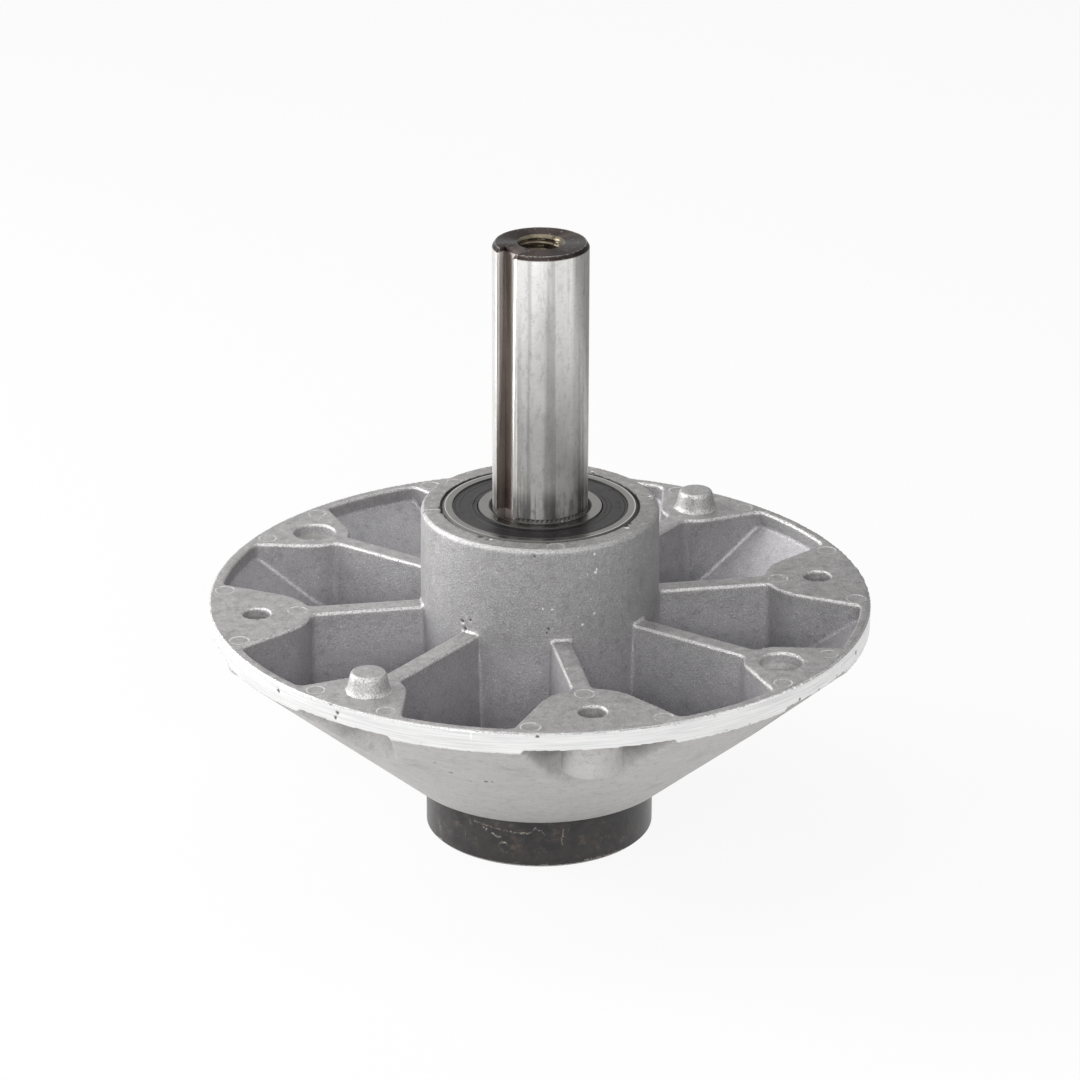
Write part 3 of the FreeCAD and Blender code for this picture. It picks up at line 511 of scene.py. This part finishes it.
# A thin seam on the tower's top, where two parts of the mould met
SEAM_TURN = math.radians(-93)
seam_side = x * math.cos(SEAM_TURN) + y * math.sin(SEAM_TURN) + (patches - 0.5) * 0.5
seam_out = x * math.sin(SEAM_TURN) - y * math.cos(SEAM_TURN)
seam = (cast.ease(abs(seam_side), 0.3, 0.12) * cast.ease(seam_out, 26.5, 27) * cast.ease(seam_out, 30.6, 30.2)
        * flat * on_tower)

# %% Painted shade in the pits, bright chips and specks as masks
# Chips: angle from the front, distance from the axis, height and size
CHIPS = [
    (16.3, 31.2, 88.4, 0.5), (17.1, 31.3, 83.3, 0.6), (17.6, 31.3, 84.0, 0.4), (10.3, 31.4, 69.2, 0.5),
    (-4.3, 31.4, 74.2, 0.45), (-8.7, 31.3, 74.6, 0.4), (16.4, 31.4, 71.8, 0.5), (45, 27.4, 90.6, 0.8),
    (140, 27.6, 90.6, 0.5), (-38, 26.8, 90.6, 0.6), (92.5, 29.6, 90.6, 0.6), (3, 52, 65.2, 0.5),
    (4.5, 50, 65.2, 0.5), (-2, 48.5, 65.2, 0.45), (120, 31.4, 78, 0.5), (-100, 31.4, 80, 0.6), (190, 31.4, 72, 0.5),
]
pit_shade = chips = 0
for *centre, size, depth in pits:
    pit_shade = cast.ease(spot(centre), size * 0.95, size * 0.4) + pit_shade
for angle, radius, height, size in CHIPS:
    chips = cast.ease(spot((*on_circle(angle, radius), height)), size, size * 0.4) + chips
specks = cast.ease(grain, 0.68, 0.74) * cast.ease(blotches, 0.35, 0.6)
print("marks", len(pits) + len(CHIPS))

# %% Colours of the casting
# Plain skin, then pocket walls in a lighter, cooler tone, painted light on the underside and in the bays, and the flat
# tops
skin = cast.mix(blotches, (0.3, 0.295, 0.3), (0.41, 0.405, 0.4))
# Pocket walls below the flange get a lighter, cooler tone
pocket_tone = cast.mix(blotches, (0.32, 0.312, 0.33), (0.47, 0.46, 0.48))
skin = cast.mix(inside * (1 - bays) * 0.85, skin, pocket_tone)
# Painted light: what looks down and the bays under the rim get a lighter colour, standing in for light from the floor
lightened_underside = under.larger(bays)
skin = cast.mix(lightened_underside, skin, cast.mix(streaks, (0.39, 0.38, 0.37), (0.54, 0.53, 0.515)))
skin = cast.mix(flat * 0.7, skin, cast.mix(clouds, (0.31, 0.3, 0.3), (0.4, 0.39, 0.385)))
skin = cast.mix(flat * on_tower * 0.62, skin, (0.265, 0.256, 0.245))

# Sand, stains and rubbed streaks
coarse = 1 - flat * 0.15 - lightened_underside * 0.4
skin = cast.mix(cast.ease(sand, 0.48, 0.7) * 0.5 * coarse, skin, (0.64, 0.63, 0.64))
skin = cast.mix(cast.ease(sand, 0.46, 0.28) * 0.5 * coarse, skin, (0.14, 0.137, 0.143))
skin = cast.mix(cast.ease(patches, 0.5, 0.74) * 0.42, skin, (0.2, 0.195, 0.2))
skin = cast.mix(cast.ease(patches, 0.42, 0.26) * 0.38, skin, (0.58, 0.57, 0.57))
skin = cast.mix(cast.ease(clouds, 0.45, 0.3) * 0.32, skin, (0.2, 0.195, 0.2))
rubs = cast.ease(cast.noise(cast.stretch(place, (1, 1, 0.2)), 1.1, 3, 0.75), 0.66, 0.74)
skin = cast.mix(rubs * (1 - flat) * 0.3, skin, (0.66, 0.65, 0.65))
skin = cast.mix(flat * cast.ease(patches, 0.5, 0.6) * 0.22, skin, (0.19, 0.185, 0.185))
skin = cast.mix(flat * cast.ease(patches, 0.47, 0.38) * 0.22, skin, (0.56, 0.55, 0.54))

# Bright rounded edges, partly rubbed wear and partly painted highlight, a painted highlight along inner corners, then
# bright specks and marks
skin = cast.mix(edge_wear_and_highlight * cast.ease(sand, 0.38, 0.55) * 0.8, skin, (0.68, 0.67, 0.66))
skin = cast.mix(fillet_highlight * cast.ease(sand, 0.4, 0.6) * 0.6, skin, (0.6, 0.59, 0.6))
skin = cast.mix(specks * 0.9, skin, (0.9, 0.9, 0.89))
# Painted highlight: thin bright rings round the ejector discs
skin = cast.mix(pin_ring_highlights * cast.ease(patches, 0.42, 0.56) * 0.75, skin, (0.78, 0.77, 0.76))
skin = cast.mix(chips + seam * 0.6, skin, (0.88, 0.87, 0.86))
print("colours of", cast.material.name)

# %% Turned band, relief and the whole surface
lines = cast.noise(cast.stretch(place, (0.02, 0.02, 1)), 0.28, 3)
nicks = cast.ease(cast.noise(cast.stretch(place, (1, 1, 1.6)), 1.5, 3, 0.7), 0.64, 0.7)
at_edges = cast.ease(z, 64.1, 64.8) + cast.ease(z, 60.6, 59.7) + 0.05
turned = cast.mix(cast.ease(lines, 0.3, 0.7), (0.68, 0.68, 0.68), (0.86, 0.86, 0.855))
turned = cast.mix(nicks * at_edges, turned, (0.13, 0.12, 0.12))
skin = cast.mix(band, skin, turned)
# Painted shade: the pits are darkened almost to black
skin = cast.mix(pit_shade * 0.9, skin, (0.07, 0.065, 0.065))
# Painted shadow: a dark ring on the bore wall just above the bearing, in the gap between them
seat_gap_shade = cast.ease(out, 26.75, 26.5) * cast.ease(z, 84, 85) * cast.ease(slope, 0.94, 0.85)
skin = cast.mix(seat_gap_shade * 0.85, skin, (0.05, 0.045, 0.042))

roughness = 0.52 - edge_wear_and_highlight * 0.14 - band * 0.2 + (blotches - 0.5) * 0.15 - flat * 0.06
height = ((grain * 0.5 + sand) * (0.8 - band * 0.72) * coarse + blotches * 0.5 + patches * 0.4
          + lines * band * 0.12 - nicks * at_edges * band)
wear(cast.surface({"Base Color": skin, "Metallic": 0.5 + band * 0.2, "Roughness": roughness,
                   "Normal": cast.bump(height, 0.18 * MM)}), casting)

# %% [markdown]
# ## Shaft with cut threads
#
# The shaft is ground all round, so it mirrors its surroundings in upright bands, with very fine lines that run round
# it. Each end has a tapped hole. A smooth hole reads as a pipe, so a helical cutter takes a real M12 thread out of
# both ends. Its profile is swept as rows of points, one row for each step of the turn.

# %% Threads cut into the shaft
SHAFT_LOW, SHAFT_TOP = 1.0, 163.0
CORE_R, CREST_R, PITCH, THREAD_LENGTH, OVERRUN = 5.05, 5.98, 1.75, 24.0, 1.0
STEPS, ROWS_A_PITCH, FLANKS, CREST_GROWTH = 48, 8, 0.86, 1.12


def thread_cutter(name, start, way):
    """A screw-shaped solid: a core whose surface swells out to the thread's full radius once a pitch."""
    rows = 1 + int(THREAD_LENGTH / PITCH * ROWS_A_PITCH)
    corners, faces = [], []
    for row in range(rows + 1):
        for step in range(STEPS):
            rise = row * THREAD_LENGTH / rows
            turn = 2 * math.pi * step / STEPS
            phase = (rise / PITCH - step / STEPS) % 1
            swell = max(0.0, 1 - abs(phase - 0.5) * 2 / FLANKS)
            fade = min(1.0, (THREAD_LENGTH - rise) / PITCH)
            radius = CORE_R + (CREST_R - CORE_R) * min(1.0, swell * CREST_GROWTH) * fade
            height = start + way * (rise - OVERRUN)
            corners.append((radius * math.cos(turn), way * radius * math.sin(turn), height))
    for row in range(rows):
        for step in range(STEPS):
            a, b = row * STEPS + step, row * STEPS + (step + 1) % STEPS
            faces.append((a, b, b + STEPS, a + STEPS))
    faces.append(tuple(reversed(range(STEPS))))
    faces.append(tuple(range(rows * STEPS, (rows + 1) * STEPS)))
    mesh = bpy.data.meshes.new(name)
    mesh.from_pydata(corners, [], faces)
    piece = bpy.data.objects.new(name, mesh)
    scene.collection.objects.link(piece)
    return piece


shaft = copy_in_mm("keyed_shaft", "shaft")
for name, start, way in (("upper_tap", SHAFT_TOP, -1), ("lower_tap", SHAFT_LOW, 1)):
    cutter = thread_cutter(name, start, way)
    bake_modifier(shaft, "BOOLEAN", operation="DIFFERENCE", solver="EXACT", object=cutter)
    bpy.data.objects.remove(cutter)
changed(shaft, weld)
shade_smooth(shaft)
shaft.data.set_sharp_from_angle(angle=math.radians(28))
print("shaft", len(shaft.data.polygons), "faces")
shaft.data.transform(Matrix.Scale(MM, 4))
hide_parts("shaft")
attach(shaft, "spindle")

# %% Masks of the shaft
KEY_TURN, KEY_HALF = math.radians(211), 3.12
ground = Finish("ground_steel")
place = ground.place()
x, y, z = ground.split(place)
out = ground.radius(x, y)
along_key = x * math.cos(KEY_TURN) + y * math.sin(KEY_TURN)
across_key = y * math.cos(KEY_TURN) - x * math.sin(KEY_TURN)

end_face = ground.ease(z, SHAFT_TOP - 1.3, SHAFT_TOP - 0.9) + ground.ease(z, SHAFT_LOW + 1.2, SHAFT_LOW + 0.9)
in_keyway = (ground.ease(abs(across_key), 3.3, KEY_HALF) * ground.ease(along_key, 8.5, 9.0)
             * ground.ease(out, 12.42, 12.3))
in_tap = ground.ease(out, 6.3, 6.15)
rings = ground.noise(ground.stretch(place, (0.03, 0.03, 1)), 0.16, 2, 0.8)
scuffs = ground.ease(ground.noise(ground.stretch(place, (1, 1, 0.12)), 0.9, 3, 0.7), 0.63, 0.72)
stains = ground.noise(place, 7, 4, 0.65)
nicks = ground.ease(ground.noise(place, 0.8, 3, 0.7), 0.64, 0.68)
print("masks of", ground.material.name)

# %% Ground steel
# Darker upright bands painted in as reflections, fine ticks of wear, wider painted reflection bands low on the shaft
# and a darker ragged band at its foot
upright = ground.noise(ground.stretch(place, (1, 1, 0.02)), 2.6, 3, 0.65)
rubbed = ground.noise(ground.stretch(place, (1, 1, 0.35)), 1.3, 4, 0.75)
ticks = ground.ease(ground.noise(ground.stretch(place, (0.3, 0.3, 1)), 0.5, 3, 0.8), 0.5, 0.75)
steel = ground.mix(stains, (0.87, 0.853, 0.832), (0.97, 0.955, 0.94))
# Painted reflection: darker upright bands
steel = ground.mix(ground.ease(upright + (rubbed - 0.5) * 0.12, 0.47, 0.6) * 0.42, steel, (0.42, 0.405, 0.39))
steel = ground.mix(ground.ease(rubbed, 0.5, 0.68) * 0.3, steel, (0.4, 0.385, 0.37))
steel = ground.mix(ticks * 0.26, steel, (0.35, 0.335, 0.32))
steel = ground.mix(scuffs * (0.5 + ground.ease(z, 122, 108) * 0.35), steel, (0.98, 0.97, 0.96))
# Painted reflection: wider dark upright bands low on the shaft, above the tower
low_reflection_bands = ground.ease(upright + (rubbed - 0.5) * 0.3, 0.38, 0.58) * ground.ease(z + (rubbed - 0.5) * 6, 101, 95)
steel = ground.mix(low_reflection_bands * ground.ease(z, 80, 81) * 0.72, steel, (0.17, 0.16, 0.155))
# A darker, less metallic ragged band at the shaft's foot, broken by nicks
dark_foot = ground.ease(z + (rubbed - 0.5) * 1.2, 91.6, 91.2) * ground.ease(z, 88, 89) * ground.ease(nicks, 0.8, 0.3)
steel = ground.mix(dark_foot * 0.9, steel, (0.06, 0.053, 0.048))
oxide = ground.mix(stains, (0.035, 0.028, 0.026), (0.075, 0.06, 0.055))
oxide = ground.mix(nicks * 0.8, oxide, (0.45, 0.43, 0.41))
groove_floor = ground.mix(stains, (0.25, 0.212, 0.192), (0.43, 0.385, 0.36))
tapped = ground.mix(stains, (0.06, 0.048, 0.035), (0.3, 0.26, 0.19))
steel = ground.mix(in_keyway, steel, groove_floor)
# A light broken line along the end's edge: worn oxide and a painted edge highlight
end_edge_wear_and_highlight = ground.ease(out, 11.45, 11.6) * ground.ease(out, 12.0, 11.8) * ground.ease(nicks + rubbed, 0.35, 0.6)
steel = ground.mix(end_face, steel, ground.mix(end_edge_wear_and_highlight * 0.7, oxide, (0.42, 0.4, 0.385)))
steel = ground.mix(in_tap, steel, tapped)
roughness = 0.33 + end_face * 0.05 + in_keyway * 0.1 + stains * 0.1 - in_tap * 0.15
height = rings * (1 - end_face) * 0.9 + scuffs * 0.25 + nicks * end_face * 0.8
wear(ground.surface({"Base Color": steel, "Metallic": 1 - dark_foot * 0.6, "Roughness": roughness, "Anisotropic": 0.94,
                     "Anisotropic Rotation": 0.25, "Normal": ground.bump(height, 0.03 * MM)}), shaft)

# %% [markdown]
# ## Blackened blade hub
#
# The hub is turned steel, blackened in a hot bath: a thin brown-black oxide, mottled where the bath was uneven. It is
# scratched through to the steel in thin crooked lines and along its edges. A line is measured on the unrolled side,
# from one angle and height to another, and a noise shakes it so that it doesn't look ruled.

# %% Black oxide steel
oxide = Finish("black_oxide_steel")
place = oxide.place()
x, y, z = oxide.split(place)
out = oxide.radius(x, y)
turning = oxide.noise(oxide.stretch(place, (0.03, 0.03, 1)), 0.3, 3, 0.7)
mottle = oxide.noise(place, 5, 5, 0.7)
fine = oxide.noise(place, 0.7, 4, 0.7)
scratches = (oxide.ease(oxide.noise(oxide.stretch(place, (1, 1, 0.25)), 1.7, 2, 0.5), 0.66, 0.7)
             * oxide.ease(fine, 0.45, 0.6))
# Scratches: an angle from the front and a height, where they end, and half the width
HUB_R = 30
SCRATCHES = [
    (-39.6, 10, -37.1, 9.4, 0.3), (-34.6, 8.9, -31.6, 8, 0.35), (-32.1, 7.9, -29.1, 8.2, 0.26),
    (-30.1, 6.4, -26.1, 6.5, 0.4), (-44.6, 11, -33.1, 10.4, 0.12), (-33.1, 10.4, -20.1, 9.8, 0.1),
    (-20.1, 9.8, -15.1, 9.9, 0.22), (-15.1, 9.9, -11.6, 11.5, 0.18), (-11.6, 11.5, -7.1, 9.6, 0.12),
    (1.9, 10.8, 1.9, 8.6, 0.22), (1.4, 8.4, 1.4, 6.2, 0.2), (-55.3, 4.5, -54.8, 4.6, 0.3),
    (-60.3, 1.9, -59.9, 2, 0.3), (-9.6, 0.8, -5.6, 0.9, 0.25), (12.4, 0.9, 36.9, 0.7, 0.26),
    (-75.1, 0.7, -68.1, 0.9, 0.3),
    (96, 4, 104, 7, 0.25), (160, 9, 168, 8.2, 0.3), (-120, 3, -112, 6, 0.25),
]
around = x.maths("ARCTAN2", x, 0 - y) * HUB_R
worn = 0
for turn, low, far_turn, high, width in SCRATCHES:
    start, run, rise = math.radians(turn) * HUB_R, math.radians(far_turn - turn) * HUB_R, high - low
    length = math.hypot(run, rise)
    side = (around - start) * (rise / length) - (z - low) * (run / length) + (fine - 0.5) * 2.2
    along = (around - start) * (run / length) + (z - low) * (rise / length)
    worn = (oxide.ease(abs(side), width, width * 0.4) * oxide.ease(along, -0.1, 0.15)
            * oxide.ease(along, length + 0.1, length - 0.15) + worn)
worn = worn * oxide.ease(oxide.noise(place, 0.45, 2, 0.7), 0.42, 0.54) * oxide.ease(out, HUB_R - 1, HUB_R - 0.4)
edges = oxide.ease(out, HUB_R - 0.3, HUB_R - 0.05) * (oxide.ease(z, 0.75, 0.45) + oxide.ease(z, 13.3, 13.6))

black = oxide.mix(oxide.ease(mottle, 0.35, 0.7), (0.009, 0.008, 0.0095), (0.03, 0.0245, 0.023))
black = oxide.mix(oxide.ease(oxide.noise(oxide.stretch(place, (0.8, 0.8, 1)), 3, 5, 0.75), 0.53, 0.66) * 0.6, black,
                  (0.085, 0.064, 0.046))
black = oxide.mix(scratches * 0.25, black, (0.25, 0.235, 0.225))
black = oxide.mix(worn * 0.75, black, (0.36, 0.32, 0.28))
black = oxide.mix(edges * oxide.ease(fine, 0.35, 0.6) * 0.85, black, (0.46, 0.44, 0.42))
wear(oxide.surface({"Base Color": black, "Roughness": 0.27 + mottle * 0.14, "IOR": 1.5,
                    "Normal": oxide.bump(turning * 0.5 + fine * 0.3 - scratches * 0.5, 0.04 * MM)}), "blade_hub")

# %% [markdown]
# ## Bearings
#
# Ball bearings are the most exact parts here: rings ground to a mirror, steel balls, a moulded cage and black rubber
# seals. Only ring faces and seals show from outside, so these get the care: fine lines round the faces, and a seal
# with moulded steps and a matt skin.

# %% Bearing steel
bearing = Finish("bearing_steel")
place = bearing.place()
lines = bearing.noise(bearing.stretch(place, (0.05, 0.05, 1)), 0.14, 2, 0.7)
cloud = bearing.noise(place, 4, 4, 0.6)
specks = bearing.ease(bearing.noise(place, 0.5, 3, 0.7), 0.66, 0.72)
out = bearing.radius(*bearing.split(place)[:2])
steel = bearing.mix(cloud, (0.2, 0.196, 0.186), (0.29, 0.285, 0.272))
steel = bearing.mix(specks * 0.5, steel, (0.25, 0.24, 0.23))
# Painted shade: dark lines in the gaps along both edges of both rings, and a painted glint beside the outermost
corner = bearing.ease(out, 24.9, 25.05) + bearing.ease(out, 23.2, 23.0) * bearing.ease(out, 22.6, 22.8)
corner = corner + bearing.ease(out, 13.6, 13.45) + bearing.ease(out, 16.05, 16.15) * bearing.ease(out, 16.8, 16.6)
steel = bearing.mix(corner * 0.9, steel, (0.07, 0.065, 0.06))
painted_glint = bearing.ease(out, 24.7, 24.8) * bearing.ease(out, 25.05, 24.95)
steel = bearing.mix(painted_glint * 0.7, steel, (0.85, 0.85, 0.84))
wear(bearing.surface({"Base Color": steel, "Metallic": 1 - corner * 0.8, "Roughness": 0.2 + cloud * 0.16 + corner * 0.3,
                      "Normal": bearing.bump(lines + specks * 0.5, 0.01 * MM)}),
     *[name for name in nodes if name.endswith("_ring") and name != "retaining_ring" or "_ball_" in name])

# %% Seal rubber
rubber = Finish("seal_rubber")
place = rubber.place()
x, y, z = rubber.split(place)
out = rubber.radius(x, y)
# Moulded steps, and the grooves along both edges, by their distance from the axis; the grooves carry painted shade
steps = (rubber.ease(out, 17.5, 17.65) - rubber.ease(out, 18.5, 18.65) * 0.6 + rubber.ease(out, 20.9, 21.05) * 0.7
         - rubber.ease(out, 22.15, 22.3) * 0.9)
grain = rubber.noise(place, 0.35, 3, 0.7)
dust = rubber.ease(rubber.noise(place, 3, 5, 0.75), 0.52, 0.75)
black = rubber.mix(grain, (0.01, 0.009, 0.01), (0.024, 0.022, 0.023))
black = rubber.mix(dust * 0.2, black, (0.085, 0.08, 0.078))
# Painted shade: the grooves along both edges are darkened
groove_shade = rubber.ease(out, 17.1, 17.2) * rubber.ease(out, 17.7, 17.6) + rubber.ease(out, 22.6, 22.7)
black = rubber.mix(groove_shade, black, (0.004, 0.004, 0.004))
wear(rubber.surface({"Base Color": black, "Roughness": 0.36 + dust * 0.3, "IOR": 1.34,
                     "Normal": rubber.bump(steps * 2.0 + grain * 0.2, 0.12 * MM)}),
     *[name for name in nodes if name.endswith("_seal")])

# %% Cage and plain steel
cage = Finish("cage_polymer")
place = cage.place()
grain = cage.noise(place, 0.6, 3, 0.7)
wear(cage.surface({"Base Color": cage.mix(grain, (0.58, 0.52, 0.38), (0.72, 0.66, 0.5)),
                   "Roughness": 0.42 + grain * 0.15, "Normal": cage.bump(grain, 0.02 * MM)}),
     "upper_cage", "lower_cage")

plain = Finish("plain_steel")
place = plain.place()
cloud = plain.noise(place, 3, 4, 0.7)
fine = plain.noise(place, 0.4, 3, 0.7)
wear(plain.surface({"Base Color": plain.mix(cloud, (0.2, 0.19, 0.185), (0.36, 0.35, 0.345)), "Metallic": 0.9,
                    "Roughness": 0.36 + cloud * 0.2, "Normal": plain.bump(fine, 0.02 * MM)}),
     "retaining_ring", "hub_key", "spacer_tube")

# %% [markdown]
# ## Light and floor
#
# Metal only looks like metal when it has something to mirror: large soft lights, and dark gaps between them. The key
# light stands behind on the left, with a weaker box in front of it and a faint one on the right. A broad one hangs
# above, and a wide one fills the front. Upright cards that only mirrors see stand between them, one pale and three
# dark. The floor and the world are white to the camera and nearly so to mirrors, but light the object only plainly.

# %% Lamps
BODY, FOOT = (0, 0, 0.08), (0, 0, 0.05)


def soft_box(name, spot, aim, size, power):
    """A rectangular lamp that faces its aim: places and sizes in metres, power in watts."""
    data = bpy.data.lights.new(name, "AREA")
    data.shape, data.size, data.size_y, data.energy = "RECTANGLE", *size, power
    lamp = bpy.data.objects.new(name, data)
    scene.collection.objects.link(lamp)
    lamp.location = spot
    lamp.rotation_euler = (Vector(aim) - Vector(spot)).to_track_quat("-Z", "Y").to_euler()
    print(name, power, "W")


soft_box("key_box", (-0.88, 0.36, 0.42), BODY, (0.55, 0.9), 11.6)
soft_box("side_box", (-0.9, -0.75, 0.5), BODY, (0.5, 0.7), 2.7)
soft_box("right_box", (0.95, -0.35, 0.55), BODY, (0.4, 0.7), 0.5)
soft_box("top_box", (-0.1, 0.1, 1.3), FOOT, (0.9, 0.9), 4)
soft_box("front_fill", (-0.15, -1.2, 0.62), FOOT, (0.8, 0.4), 8)

# %% Flags for mirrors
def sheet(name, corners):
    """One flat face with those four corners."""
    mesh = bpy.data.meshes.new(name)
    mesh.from_pydata(corners, [], [(0, 1, 2, 3)])
    piece = bpy.data.objects.new(name, mesh)
    scene.collection.objects.link(piece)
    return piece


def flag(name, angle, distance, width, low, high, tone):
    """An upright card that only mirrors see, at an angle from the front, turning to the right, in millimetres."""
    fx, fy = (v * MM for v in on_circle(angle, distance))
    ax, ay = math.cos(math.radians(angle)) * width / 2 * MM, math.sin(math.radians(angle)) * width / 2 * MM
    low, high = low * MM, high * MM
    corners = [(fx - ax, fy - ay, low), (fx + ax, fy + ay, low), (fx + ax, fy + ay, high), (fx - ax, fy - ay, high)]
    piece = sheet(name, corners)
    card = Finish(name)
    piece.data.materials.append(card.show(card.add("ShaderNodeEmission", None, {"Color": (tone, tone, tone, 1)})))
    piece.visible_camera = piece.visible_diffuse = piece.visible_shadow = piece.visible_transmission = False
    print(name, "at", angle)


flag("left_flag", -50, 97, 72, 66, 300, 0.95)
flag("narrow_flag", -3, 97, 62, 66, 300, 0.3)
flag("wide_flag", 112, 190, 330, 20, 300, 0.28)
flag("low_flag", 125, 62, 110, 1, 30, 0.1)

# %% World
WORLD_LIGHT, MIRRORED_SKY = 0.3, 0.8
scene.world = bpy.data.worlds.new("studio")
studio = Finish("studio", scene.world)
camera_ray, white_ray = studio.white_rays()
lighting = studio.add("ShaderNodeBackground", None, {"Color": (1, 1, 1, 1), "Strength": WORLD_LIGHT})
backdrop = studio.mix(camera_ray, (MIRRORED_SKY,) * 3, (1, 1, 1))
white = studio.add("ShaderNodeBackground", None, {"Color": backdrop, "Strength": 1.0})
studio.show(studio.add("ShaderNodeMixShader", None, {0: white_ray, 1: lighting, 2: white}))
print("world", scene.world.name)

# %% Floor
# The floor lies a hair under the object. To the camera nine tenths of it glow, and the rest takes the shadow.
FLOOR_HALF, FLOOR_GAP, GLOW_SHARE = 4, 0.02 * MM, 0.9
floor = sheet("floor", [(side, front, -FLOOR_GAP) for side, front in (
    (-FLOOR_HALF, -FLOOR_HALF), (FLOOR_HALF, -FLOOR_HALF), (FLOOR_HALF, FLOOR_HALF), (-FLOOR_HALF, FLOOR_HALF))])
paper = Finish("white_floor")
card = paper.add("ShaderNodeBsdfDiffuse", None, {"Color": (0.8, 0.8, 0.8, 1)})
glow = paper.add("ShaderNodeEmission", None, {"Color": (1, 1, 1, 1), "Strength": 1.0})
floor.data.materials.append(
    paper.show(paper.add("ShaderNodeMixShader", None, {0: paper.white_rays()[1] * GLOW_SHARE, 1: card, 2: glow})))
print("floor", floor.name)

# %% [markdown]
#
# The dressed model keeps the size of the solids.

# %% View transform
scene.view_settings.view_transform = "Standard"
